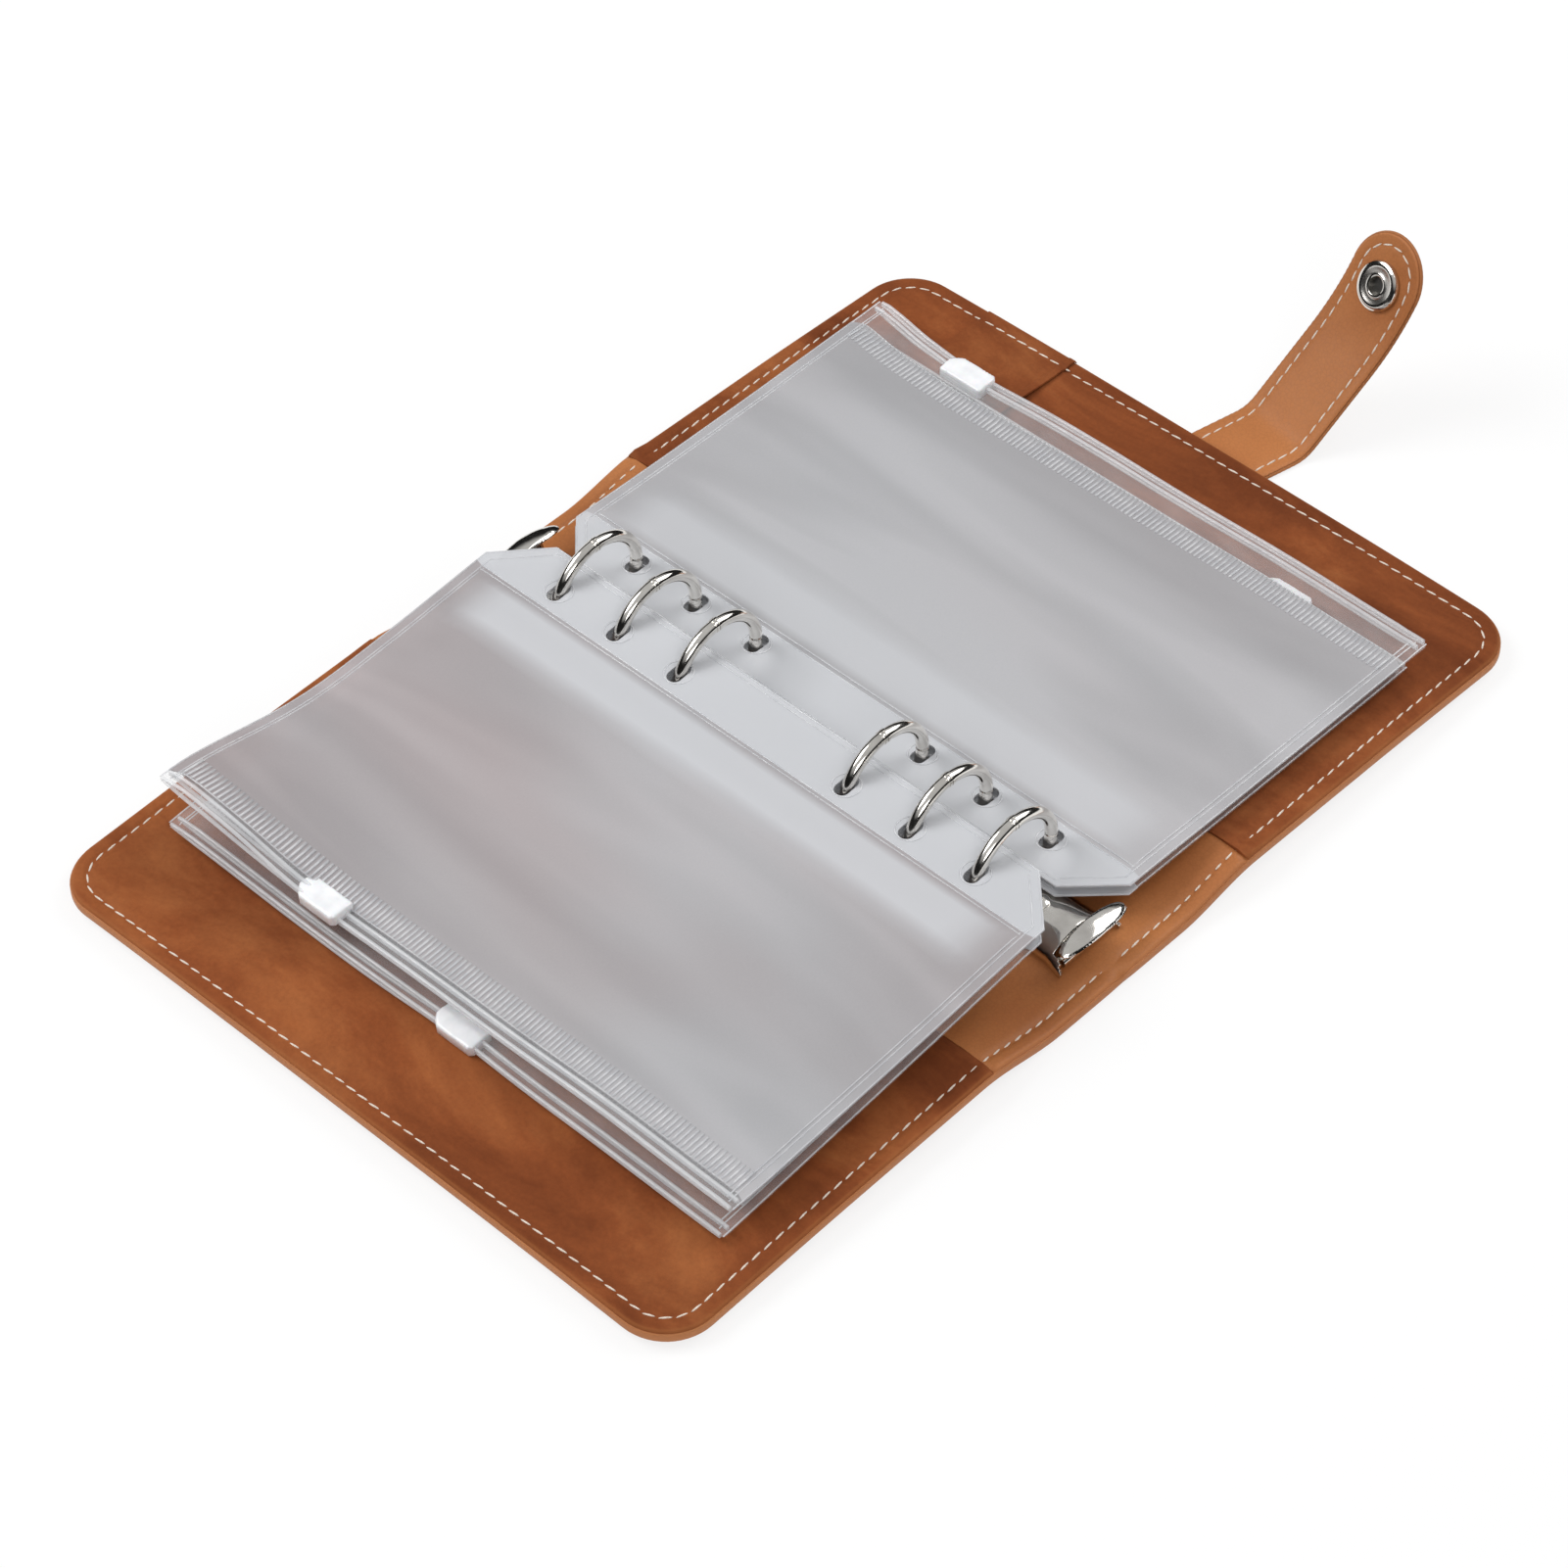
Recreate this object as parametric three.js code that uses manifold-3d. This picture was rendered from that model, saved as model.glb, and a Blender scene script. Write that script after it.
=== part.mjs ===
// Six-ring cash envelope wallet, lying open on its back with its strap out to the right.
// Millimetres, +Z up, +Y along the spine, +X towards the cover that carries the strap.
// The origin is the middle of the spine's underside.

import * as THREE from 'three';
import { mergeVertices } from 'three/addons/utils/BufferGeometryUtils.js';
import Module from 'manifold-3d';

const wasm = await Module();
wasm.setup();

// Covers and spine
const coverHeight = 191.4;
const coverReach = 140;
const cornerRadius = 13;
const spineHalf = 20;
const foldGap = 0.6;
const leatherThickness = 1.1;
const boardThickness = 1.4;
const liningThickness = 0.9;
const layerGap = 0.05;
const rimWidth = 2;
const rimDrop = 0.25;
const boardInset = 2.4;
const boardFoldInset = 3;
const crestReach = 44;
const crestLift = 3.4;
const foreLift = 1.4;
const liningChange = 41;
const changeGap = 0.4;
const backLipHeight = 0.5;
const stationStep = 4;

// Pocket band across the back cover's lining
const bandWidth = 28;
const bandFarGap = 27.7;
const bandThickness = 0.5;
const bandEndInset = 2.6;
const bandStart = 46;

// Ring mechanism
const ringPositions = [-63.5, -44.5, -25.5, 25.5, 44.5, 63.5];
const wireRadius = 1.5;
const ringRadius = 12.8;
const ringCentreHeight = 15;
const ringButtGap = 0.3;
const legAngle = -25;
const legRadius = 4.5;
const legEnd = 6.2;
const wireArcSegments = 4;
const wireSteps = 17;
const plateHalfWidth = 8.8;
const plateRise = 5.8;
const plateSheet = 0.8;
const plateHalfLength = 82.5;
const earLength = 4;
const earHeight = 2.9;
const notchWidth = 3.9;
const notchInnerReach = 5.2;
const notchHeadroom = 1.7;
const railSheet = 0.6;
const railGap = 0.2;
const railHalfWidth = 7;
const railHalfLength = 77;
const railMiddleGap = 0.5;
const railRivetClearance = 0.8;
const rivetPlace = 72;
const rivetShankRadius = 1.2;
const rivetHeadRadius = 2.2;
const rivetHeadHeight = 0.6;
const rivetFootRadius = 3;
const rivetFootHeight = 0.5;
const rivetClearance = 0.3;
const rivetCrownShare = 0.8;
const rivetShoulderShare = 0.7;

// Opening levers at the two ends of the plate
const leverPadWidth = 20;
const leverPadDepth = 6.4;
const leverPadSheet = 1.1;
const leverPadTilt = 28;
const leverPadHeight = 11.9;
const leverPadPlace = 87;
const leverNeckSetback = 0.4;
const leverNeckWidth = 8.6;
const leverNeckSheet = 1;
const leverPivotPlace = 84.6;
const leverPivotHeight = 5.2;
const leverPivotRadius = 1.2;
const leverPivotInset = 1.8;
const leverTongueReach = 79.5;

// Zip envelopes on the rings
const envelopeHalfHeight = 85;
const envelopeChamfer = 11.5;
const bindingWidth = 15.2;
const sideWeld = 2.6;
const filmThickness = 0.5;
const pouchThickness = 1;
const ribBandWidth = 6;
const ribBandThickness = 1.3;
const clearStripWidth = 5.6;
const holeRadius = 3.3;
const holeSides = 16;
const zipRailWidth = 3;
const zipRailThickness = 1.5;
const zipGrooveDepth = 0.35;
const zipRailGap = 0.3;
const sliderLength = 13;
const sliderWidth = 6.4;
const sliderThickness = 3;
const sliderWall = 0.45;
const sliderOverhang = 1;
const sliderMouth = 1.2;
const sliderChamfer = 3;

// Where each envelope's inner and outer edges lie in section, the offset of the wire inside its holes,
// and how far along the spine its slider stands
const leftUpperInnerReach = 2.5;
const leftUpperInnerHeight = 22.1;
const leftUpperOuterReach = 110;
const leftUpperOuterHeight = 13.6;
const leftUpperHoleShift = 0.5;
const leftUpperSliderPlace = 39;
const leftLowerInnerReach = 3.3;
const leftLowerInnerHeight = 19.19;
const leftLowerOuterReach = 113;
const leftLowerOuterHeight = 7.4;
const leftLowerHoleShift = 0.3;
const leftLowerSliderPlace = -5;
const rightUpperInnerReach = 3;
const rightUpperInnerHeight = 12.5;
const rightUpperOuterReach = 117.6;
const rightUpperOuterHeight = 10.4;
const rightUpperHoleShift = 0;
const rightUpperSliderPlace = 52;
const rightLowerInnerReach = 2.6;
const rightLowerInnerHeight = 9.84;
const rightLowerOuterReach = 110.8;
const rightLowerOuterHeight = 8.1;
const rightLowerHoleShift = 0.3;
const rightLowerSliderPlace = -50;
const leftHoleRise = 0;
const rightHoleRise = 0.4;

// Strap with its snap, and the stud that it closes on
const strapWidth = 22.9;
const strapLayer = 0.6;
const strapRootY = -4.4;
const strapTurn = -12.3;
const strapFlat = 14.5;
const strapKink = 5;
const strapSlope = 43;
const strapStraightEnd = 41;
const strapTipCentre = 62;
const strapTipSlope = 63;
const strapRootLength = 22;
const strapRootGap = 0.5;
const strapLead = 4;
const strapStations = 26;
const strapTipStations = 8;
const strapTipTurn = 86;
const strapFineStep = 0.25;
const snapPlace = 60;
const snapRingRadius = 6.2;
const snapHoleRadius = 2.5;
const snapRingHeight = 1.5;
const snapShankRadius = 2;
const snapShankClearance = 0.3;
const snapSeatGap = 0.4;
const snapCapRadius = 6;
const snapCapHeight = 1;
const studPlace = -119;
const studFlangeRadius = 5;
const studFlangeHeight = 0.45;
const studPostRadius = 2.2;
const studNeckRadius = 1.9;
const studPostHeight = 0.9;
const studSeatGap = 0.12;
const roundSides = 24;

// Finishes as seen in daylight
const tanLeather = { color: 0xb8784a, roughness: 0.55, metalness: 0 };
const suede = { color: 0x8f5326, roughness: 0.85, metalness: 0 };
const greyBoard = { color: 0x9a9488, roughness: 0.9, metalness: 0 };
const nickel = { color: 0xd0cdc8, roughness: 0.18, metalness: 1 };
const frostedFilm = { color: 0xc6c7cb, roughness: 0.45, metalness: 0 };
const clearVinyl = { color: 0xe2e3e6, roughness: 0.2, metalness: 0 };
const whitePlastic = { color: 0xf2f3f5, roughness: 0.3, metalness: 0 };

// Worked out from the sizes above
const halfHeight = coverHeight / 2;
const bandHigh = halfHeight - bandFarGap;
const bandLow = bandHigh - bandWidth;
const stackThickness = leatherThickness + boardThickness + liningThickness + 2 * layerGap;
const boardBase = leatherThickness + layerGap;
const liningBase = boardBase + boardThickness + layerGap;
const plateTop = stackThickness + plateRise;
const legRise = ringCentreHeight + (ringRadius - legRadius) * Math.sin(rad(legAngle)) - legRadius;
const railTop = legRise - wireRadius - railGap;

const envelopes = [
  {
    name: 'left_upper', side: -1, innerX: leftUpperInnerReach, innerZ: leftUpperInnerHeight,
    outerX: leftUpperOuterReach, outerZ: leftUpperOuterHeight,
    holeShift: leftUpperHoleShift, holeRise: leftHoleRise, sliderPlace: leftUpperSliderPlace,
  },
  {
    name: 'left_lower', side: -1, innerX: leftLowerInnerReach, innerZ: leftLowerInnerHeight,
    outerX: leftLowerOuterReach, outerZ: leftLowerOuterHeight,
    holeShift: leftLowerHoleShift, holeRise: leftHoleRise, sliderPlace: leftLowerSliderPlace,
  },
  {
    name: 'right_upper', side: 1, innerX: rightUpperInnerReach, innerZ: rightUpperInnerHeight,
    outerX: rightUpperOuterReach, outerZ: rightUpperOuterHeight,
    holeShift: rightUpperHoleShift, holeRise: rightHoleRise, sliderPlace: rightUpperSliderPlace,
  },
  {
    name: 'right_lower', side: 1, innerX: rightLowerInnerReach, innerZ: rightLowerInnerHeight,
    outerX: rightLowerOuterReach, outerZ: rightLowerOuterHeight,
    holeShift: rightLowerHoleShift, holeRise: rightHoleRise, sliderPlace: rightLowerSliderPlace,
  },
];

const wallet = new THREE.Group();

function rad(degrees) {
  return THREE.MathUtils.degToRad(degrees);
}

// Adds one named piece with a material of its own.
function addPiece(parent, name, geometry, finish) {
  const mesh = new THREE.Mesh(geometry, new THREE.MeshStandardMaterial(finish));
  mesh.name = name;
  parent.add(mesh);
  return mesh;
}

function solidOf(geometry) {
  const bare = geometry.clone();
  bare.deleteAttribute('normal');
  bare.deleteAttribute('uv');
  const merged = mergeVertices(bare, 1e-4);
  return new wasm.Manifold(new wasm.Mesh({
    numProp: 3,
    vertProperties: new Float32Array(merged.attributes.position.array),
    triVerts: new Uint32Array(merged.index.array),
  }));
}

function geometryOf(solid) {
  const mesh = solid.getMesh();
  const geometry = new THREE.BufferGeometry();
  geometry.setAttribute('position', new THREE.BufferAttribute(new Float32Array(mesh.vertProperties), 3));
  geometry.setIndex(new THREE.BufferAttribute(new Uint32Array(mesh.triVerts), 1));
  geometry.computeVertexNormals();
  return geometry;
}

function polygon(points) {
  return new THREE.Shape(points.map(([x, y]) => new THREE.Vector2(x, y)));
}

// A plan outline in X and Y raised from low to high along Z.
function prism(shape, low, high, curveSegments = 8) {
  const geometry = new THREE.ExtrudeGeometry(shape, {
    depth: high - low, bevelEnabled: false, steps: 1, curveSegments,
  });
  return geometry.translate(0, 0, low);
}

// A section in X and Z drawn out along Y from low to high.
function bar(shape, low, high, curveSegments = 8) {
  const geometry = new THREE.ExtrudeGeometry(shape, {
    depth: high - low, bevelEnabled: false, steps: 1, curveSegments,
  });
  return geometry.rotateX(Math.PI / 2).translate(0, high, 0);
}

function boxBetween(low, high) {
  const geometry = new THREE.BoxGeometry(high[0] - low[0], high[1] - low[1], high[2] - low[2]);
  return geometry.translate((low[0] + high[0]) / 2, (low[1] + high[1]) / 2, (low[2] + high[2]) / 2);
}

// A round piece about the Z axis, from a closed list of radius and height.
function turned(profile, sides = roundSides) {
  return new THREE.LatheGeometry(profile.map(([r, z]) => new THREE.Vector2(r, z)), sides).rotateX(Math.PI / 2);
}

function post(x, y, radius, low, high, sides = roundSides) {
  const geometry = new THREE.CylinderGeometry(radius, radius, high - low, sides);
  return geometry.rotateX(Math.PI / 2).translate(x, y, (low + high) / 2);
}

// Height of a cover's underside over the table: flat spine, a soft crest, then down to the fore edge.
function liftAt(x) {
  const reach = Math.abs(x);
  if (reach <= spineHalf) {
    return 0;
  }
  if (reach <= crestReach) {
    return crestLift * THREE.MathUtils.smoothstep(reach, spineHalf, crestReach);
  }
  return THREE.MathUtils.mapLinear(reach, crestReach, coverReach, crestLift, foreLift);
}

function stationsBetween(from, to) {
  const stations = [from];
  for (let x = spineHalf + stationStep; x <= crestReach; x += stationStep) {
    if (x > from && x < to) {
      stations.push(x);
    }
  }
  stations.push(to);
  return stations;
}

// A layer of a cover that follows its curve, between two distances from the spine's middle.
function layerBar(side, from, to, base, top) {
  const stations = stationsBetween(from, to);
  const lower = stations.map((x) => [side * x, liftAt(x) + base]);
  const upper = stations.map((x) => [side * x, liftAt(x) + top]).reverse();
  return solidOf(bar(polygon([...lower, ...upper]), -halfHeight, halfHeight));
}

// Plan outline of a cover from a distance beside the spine out to its rounded fore edge.
function coverOutline(side, from, inset) {
  const reach = coverReach - inset;
  const half = halfHeight - inset;
  const radius = cornerRadius - inset;
  const shape = new THREE.Shape();
  shape.moveTo(side * from, -half);
  shape.lineTo(side * (reach - radius), -half);
  const corner = [side * (reach - radius), half - radius];
  if (side > 0) {
    shape.absarc(corner[0], -corner[1], radius, -Math.PI / 2, 0, false);
    shape.absarc(corner[0], corner[1], radius, 0, Math.PI / 2, false);
  } else {
    shape.absarc(corner[0], -corner[1], radius, -Math.PI / 2, -Math.PI, true);
    shape.absarc(corner[0], corner[1], radius, Math.PI, Math.PI / 2, true);
  }
  shape.lineTo(side * from, half);
  return shape;
}

function coverLayer(side, from, to, inset, base, top) {
  const outline = solidOf(prism(coverOutline(side, from, inset), -1, crestLift + 3 * stackThickness));
  return layerBar(side, from, to, base, top).intersect(outline);
}

// One cover: leather shell with a rolled rim, board, suede lining and the tan lining beside the fold.
function addCover(side, name, lipHeight) {
  const foldX = spineHalf + foldGap / 2;
  const rimTop = stackThickness - rimDrop;
  const shell = coverLayer(side, foldX, coverReach, 0, 0, rimTop);
  const tray = coverLayer(side, foldX - 1, coverReach, rimWidth, leatherThickness, stackThickness + 1);
  addPiece(wallet, `${name}_leather`, geometryOf(shell.subtract(tray)), tanLeather);

  const boardStart = foldX + boardFoldInset;
  const board = coverLayer(side, boardStart, coverReach, boardInset, boardBase, boardBase + boardThickness);
  addPiece(wallet, `${name}_board`, geometryOf(board), greyBoard);

  const suedeStart = liningChange + changeGap / 2;
  const suedeTop = liningBase + liningThickness;
  const suedeInset = rimWidth + layerGap;
  const lining = coverLayer(side, suedeStart, coverReach, suedeInset, liningBase, suedeTop + lipHeight / 2);
  addPiece(wallet, `${name}_lining`, geometryOf(lining), suede);

  const hingeEnd = liningChange - changeGap / 2;
  const hinge = layerBar(side, foldX, hingeEnd, liningBase, suedeTop - lipHeight / 2);
  const hingeOutline = coverOutline(side, foldX, suedeInset);
  const trimmed = hinge.intersect(solidOf(prism(hingeOutline, -1, crestLift + 3 * stackThickness)));
  addPiece(wallet, `${name}_hinge_lining`, geometryOf(trimmed), tanLeather);
}

// The band sewn across the back lining, open along both long sides.
function addPocketBand() {
  const base = liningBase + liningThickness + backLipHeight / 2 + layerGap;
  const strip = layerBar(1, bandStart, coverReach - bandEndInset, base, base + bandThickness);
  const window = boxBetween([0, bandLow, 0], [coverReach, bandHigh, crestLift + 3 * stackThickness]);
  addPiece(wallet, 'pocket_band', geometryOf(strip.intersect(solidOf(window))), suede);
}

// The flat spine between the folds.
function addSpine() {
  const half = spineHalf - foldGap / 2;
  const outer = solidOf(boxBetween([-half, -halfHeight, 0], [half, halfHeight, stackThickness - rimDrop]));
  const inner = solidOf(boxBetween(
    [-half - 1, -halfHeight + rimWidth, leatherThickness],
    [half + 1, halfHeight - rimWidth, stackThickness + 1],
  ));
  addPiece(wallet, 'spine_leather', geometryOf(outer.subtract(inner)), tanLeather);

  const boardHalf = half - boardFoldInset;
  let board = solidOf(boxBetween(
    [-boardHalf, -halfHeight + boardInset, boardBase],
    [boardHalf, halfHeight - boardInset, boardBase + boardThickness],
  ));
  const suedeInset = rimWidth + layerGap;
  let lining = solidOf(boxBetween(
    [-half, -halfHeight + suedeInset, liningBase],
    [half, halfHeight - suedeInset, stackThickness],
  ));
  for (const y of [-rivetPlace, rivetPlace]) {
    const footHole = rivetFootRadius + rivetClearance;
    const shankHole = rivetShankRadius + rivetClearance;
    board = board.subtract(solidOf(post(0, y, footHole, 0, stackThickness)));
    lining = lining.subtract(solidOf(post(0, y, shankHole, 0, stackThickness + 1)));
  }
  addPiece(wallet, 'spine_board', geometryOf(board), greyBoard);
  addPiece(wallet, 'spine_lining', geometryOf(lining), tanLeather);
}

// The arched cover plate, notched for the wires, with its side walls drawn out as ears for the levers.
function addPlate() {
  const section = new THREE.Shape();
  const foot = stackThickness + layerGap;
  section.moveTo(plateHalfWidth, foot);
  section.absellipse(0, foot, plateHalfWidth, plateRise - layerGap, 0, Math.PI, false);
  section.lineTo(-plateHalfWidth + plateSheet, foot);
  section.absellipse(
    0, foot, plateHalfWidth - plateSheet, plateRise - layerGap - plateSheet, Math.PI, 0, true,
  );
  const earEnd = plateHalfLength + earLength;
  let plate = solidOf(bar(section, -earEnd, earEnd, 9));
  for (const end of [-1, 1]) {
    const near = end * plateHalfLength;
    const far = end * (earEnd + 1);
    const low = [-plateHalfWidth - 1, Math.min(near, far), foot + earHeight];
    const high = [plateHalfWidth + 1, Math.max(near, far), plateTop + 1];
    plate = plate.subtract(solidOf(boxBetween(low, high)));
    const shankHole = rivetShankRadius + rivetClearance;
    plate = plate.subtract(solidOf(post(0, end * rivetPlace, shankHole, foot, plateTop + 1)));
  }
  for (const y of ringPositions) {
    for (const side of [-1, 1]) {
      const near = side * notchInnerReach;
      const far = side * (plateHalfWidth + 1);
      const low = [Math.min(near, far), y - notchWidth / 2, foot - 1];
      const high = [Math.max(near, far), y + notchWidth / 2, legRise + notchHeadroom];
      plate = plate.subtract(solidOf(boxBetween(low, high)));
    }
  }
  addPiece(wallet, 'ring_plate', geometryOf(plate), nickel);
}

// Rivets that hold the plate to the spine board, their feet under the lining.
function addRivets() {
  const top = plateTop + layerGap;
  const base = boardBase;
  for (const [name, y] of [['plate_rivet_near', -rivetPlace], ['plate_rivet_far', rivetPlace]]) {
    const profile = [
      [0, base],
      [rivetFootRadius, base],
      [rivetFootRadius, base + rivetFootHeight],
      [rivetShankRadius, base + rivetFootHeight],
      [rivetShankRadius, top],
      [rivetHeadRadius, top],
      [rivetHeadRadius * rivetCrownShare, top + rivetHeadHeight * rivetShoulderShare],
      [0, top + rivetHeadHeight],
    ];
    const rivet = turned(profile, 16);
    addPiece(wallet, name, rivet.translate(0, y, 0), nickel);
  }
}

// Centre line of one half ring: a big arc from the butt at the top, a tight bend, then a short leg.
class HalfRingPath extends THREE.Curve {
  constructor(side) {
    super();
    this.side = side;
    this.start = Math.PI / 2 - ringButtGap / 2 / ringRadius;
    this.turn = rad(legAngle);
    this.bigLength = (this.start - this.turn) * ringRadius;
    this.bendLength = (this.turn + Math.PI / 2) * legRadius;
    this.bendX = (ringRadius - legRadius) * Math.cos(this.turn);
    this.bendZ = ringCentreHeight + (ringRadius - legRadius) * Math.sin(this.turn);
    this.legLength = this.bendX - legEnd;
  }

  getPoint(t, target = new THREE.Vector3()) {
    const travelled = t * (this.bigLength + this.bendLength + this.legLength);
    if (travelled <= this.bigLength) {
      const angle = this.start - travelled / ringRadius;
      const x = ringRadius * Math.cos(angle);
      return target.set(this.side * x, 0, ringCentreHeight + ringRadius * Math.sin(angle));
    }
    if (travelled <= this.bigLength + this.bendLength) {
      const angle = this.turn - (travelled - this.bigLength) / legRadius;
      const x = this.bendX + legRadius * Math.cos(angle);
      return target.set(this.side * x, 0, this.bendZ + legRadius * Math.sin(angle));
    }
    const rest = travelled - this.bigLength - this.bendLength;
    return target.set(this.side * (this.bendX - rest), 0, this.bendZ - legRadius);
  }
}

// Half rings and the flat rail that carries them, one set on each side.
function addRingSet(side, name) {
  const section = new THREE.Shape();
  section.absarc(0, 0, wireRadius, 0, 2 * Math.PI, false);
  const path = new HalfRingPath(side);
  ringPositions.forEach((y, index) => {
    const wire = new THREE.ExtrudeGeometry(section, {
      steps: wireSteps, curveSegments: wireArcSegments, extrudePath: path,
    });
    addPiece(wallet, `${name}_ring_${index + 1}`, geometryOf(solidOf(wire.translate(0, y, 0))), nickel);
  });
  const near = side * railMiddleGap / 2;
  const far = side * railHalfWidth;
  let rail = solidOf(boxBetween(
    [Math.min(near, far), -railHalfLength, railTop - railSheet],
    [Math.max(near, far), railHalfLength, railTop],
  ));
  for (const y of [-rivetPlace, rivetPlace]) {
    const hole = post(0, y, rivetShankRadius + railRivetClearance, 0, railTop + 1, 16);
    rail = rail.subtract(solidOf(hole));
  }
  addPiece(wallet, `${name}_rail`, geometryOf(rail), nickel);
}

// One lever: thumb pad, neck, pivot roll between the ears and a short tongue under the plate.
function addLever(end, name) {
  const pad = new THREE.Shape();
  pad.absellipse(0, 0, leverPadWidth / 2, leverPadDepth / 2, 0, 2 * Math.PI, false);
  const padGeometry = prism(pad, -leverPadSheet / 2, leverPadSheet / 2, 20);
  padGeometry.rotateX(-end * rad(leverPadTilt)).translate(0, end * leverPadPlace, leverPadHeight);

  const outer = end * (leverPadPlace - leverNeckSetback);
  const inner = end * leverPivotPlace;
  const half = leverNeckSheet / 2;
  const neckSection = [
    [outer - half, leverPadHeight],
    [inner - half, leverPivotHeight],
    [inner + half, leverPivotHeight],
    [outer + half, leverPadHeight],
  ];
  // The neck's section lies in Y and Z and is drawn out along X.
  const neck = new THREE.ExtrudeGeometry(polygon(neckSection), { depth: leverNeckWidth, bevelEnabled: false });
  neck.rotateY(Math.PI / 2).rotateX(Math.PI / 2).translate(-leverNeckWidth / 2, 0, 0);

  const rollLength = 2 * (plateHalfWidth - plateSheet - leverPivotInset);
  const roll = new THREE.CylinderGeometry(leverPivotRadius, leverPivotRadius, rollLength, 12);
  roll.rotateZ(Math.PI / 2).translate(0, end * leverPivotPlace, leverPivotHeight);

  const tongueNear = end * leverPivotPlace;
  const tongueFar = end * leverTongueReach;
  const tongue = boxBetween(
    [-leverNeckWidth / 2, Math.min(tongueNear, tongueFar), leverPivotHeight - half],
    [leverNeckWidth / 2, Math.max(tongueNear, tongueFar), leverPivotHeight + half],
  );
  const lever = solidOf(padGeometry).add(solidOf(neck)).add(solidOf(roll)).add(solidOf(tongue));
  addPiece(wallet, name, geometryOf(lever), nickel);
}

// One zip envelope, built flat from its inner edge outwards and then tilted into place.
function addEnvelope(envelope) {
  const { name, side, innerX, innerZ, outerX, outerZ } = envelope;
  const width = Math.hypot(outerX - innerX, outerZ - innerZ);
  const tilt = Math.atan2(innerZ - outerZ, outerX - innerX);
  const group = new THREE.Group();
  group.position.set(side * innerX, 0, innerZ);
  group.rotation.y = side * tilt;
  wallet.add(group);

  const filmEnd = width - zipRailWidth - zipRailGap;
  const half = envelopeHalfHeight;
  const film = polygon([
    [0, half - envelopeChamfer],
    [0, -half + envelopeChamfer],
    [side * envelopeChamfer, -half],
    [side * filmEnd, -half],
    [side * filmEnd, half],
    [side * envelopeChamfer, half],
  ]);
  const ribEnd = filmEnd - clearStripWidth;
  const ribStart = ribEnd - ribBandWidth;
  const pocketHalf = half - sideWeld;
  const spanBox = (from, to, reach, thickness) => boxBetween(
    [Math.min(side * from, side * to), -reach, -thickness / 2],
    [Math.max(side * from, side * to), reach, thickness / 2],
  );
  let pouch = solidOf(prism(film, -filmThickness / 2, filmThickness / 2));
  pouch = pouch.add(solidOf(spanBox(bindingWidth, ribEnd, pocketHalf, pouchThickness)));
  pouch = pouch.add(solidOf(spanBox(ribStart, ribEnd, pocketHalf, ribBandThickness)));

  const holeReach = holeReachOf(envelope);
  for (const y of ringPositions) {
    const hole = post(
      side * (holeReach + envelope.holeShift), y + envelope.holeRise, holeRadius, -1, 1, holeSides,
    );
    pouch = pouch.subtract(solidOf(hole));
  }
  addPiece(group, `${name}_pouch`, geometryOf(pouch), frostedFilm);

  addPiece(group, `${name}_zip`, zipRail(side, width), clearVinyl);
  const slider = zipSlider(side, width);
  addPiece(group, `${name}_slider`, slider.translate(0, envelope.sliderPlace, 0), whitePlastic);
}

// Distance from an envelope's inner edge, along the film, to where the ring's wire crosses it.
function holeReachOf(envelope) {
  const { innerX, innerZ, outerX, outerZ } = envelope;
  const along = new THREE.Vector2(outerX - innerX, outerZ - innerZ).normalize();
  const start = new THREE.Vector2(innerX, innerZ - ringCentreHeight);
  const projection = start.dot(along);
  return -projection + Math.sqrt(projection ** 2 - start.lengthSq() + ringRadius ** 2);
}

// The interlocking zip track, two ridges either side of a groove.
function zipRail(side, width) {
  const half = zipRailThickness / 2;
  const from = width - zipRailWidth;
  const third = zipRailWidth / 3;
  const section = polygon([
    [side * from, -half],
    [side * (from + third), -half],
    [side * (from + 1.5 * third), -half + zipGrooveDepth],
    [side * (from + 2 * third), -half],
    [side * width, -half],
    [side * width, half],
    [side * (from + 2 * third), half],
    [side * (from + 1.5 * third), half - zipGrooveDepth],
    [side * (from + third), half],
    [side * from, half],
  ]);
  return bar(section, -envelopeHalfHeight + 1, envelopeHalfHeight - 1);
}

// The slider wraps the track from outside: a channel with a narrow mouth over the film.
function zipSlider(side, width) {
  const outer = width + sliderOverhang;
  const inner = outer - sliderWidth;
  const half = sliderThickness / 2;
  const caveHalf = half - sliderWall;
  const caveOuter = width + zipRailGap;
  const caveInner = width - zipRailWidth - zipRailGap;
  const mouth = sliderMouth / 2;
  const section = polygon([
    [side * inner, -half],
    [side * outer, -half],
    [side * outer, half],
    [side * inner, half],
    [side * inner, mouth],
    [side * caveInner, mouth],
    [side * caveInner, caveHalf],
    [side * caveOuter, caveHalf],
    [side * caveOuter, -caveHalf],
    [side * caveInner, -caveHalf],
    [side * caveInner, -mouth],
    [side * inner, -mouth],
  ]);
  const body = solidOf(bar(section, -sliderLength / 2, sliderLength / 2));
  const corner = polygon([
    [side * (outer + 1), sliderLength / 2 + 1],
    [side * (outer - sliderChamfer - 1), sliderLength / 2 + 1],
    [side * (outer + 1), sliderLength / 2 - sliderChamfer - 1],
  ]);
  return geometryOf(body.subtract(solidOf(prism(corner, -sliderThickness, sliderThickness))));
}

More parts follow.
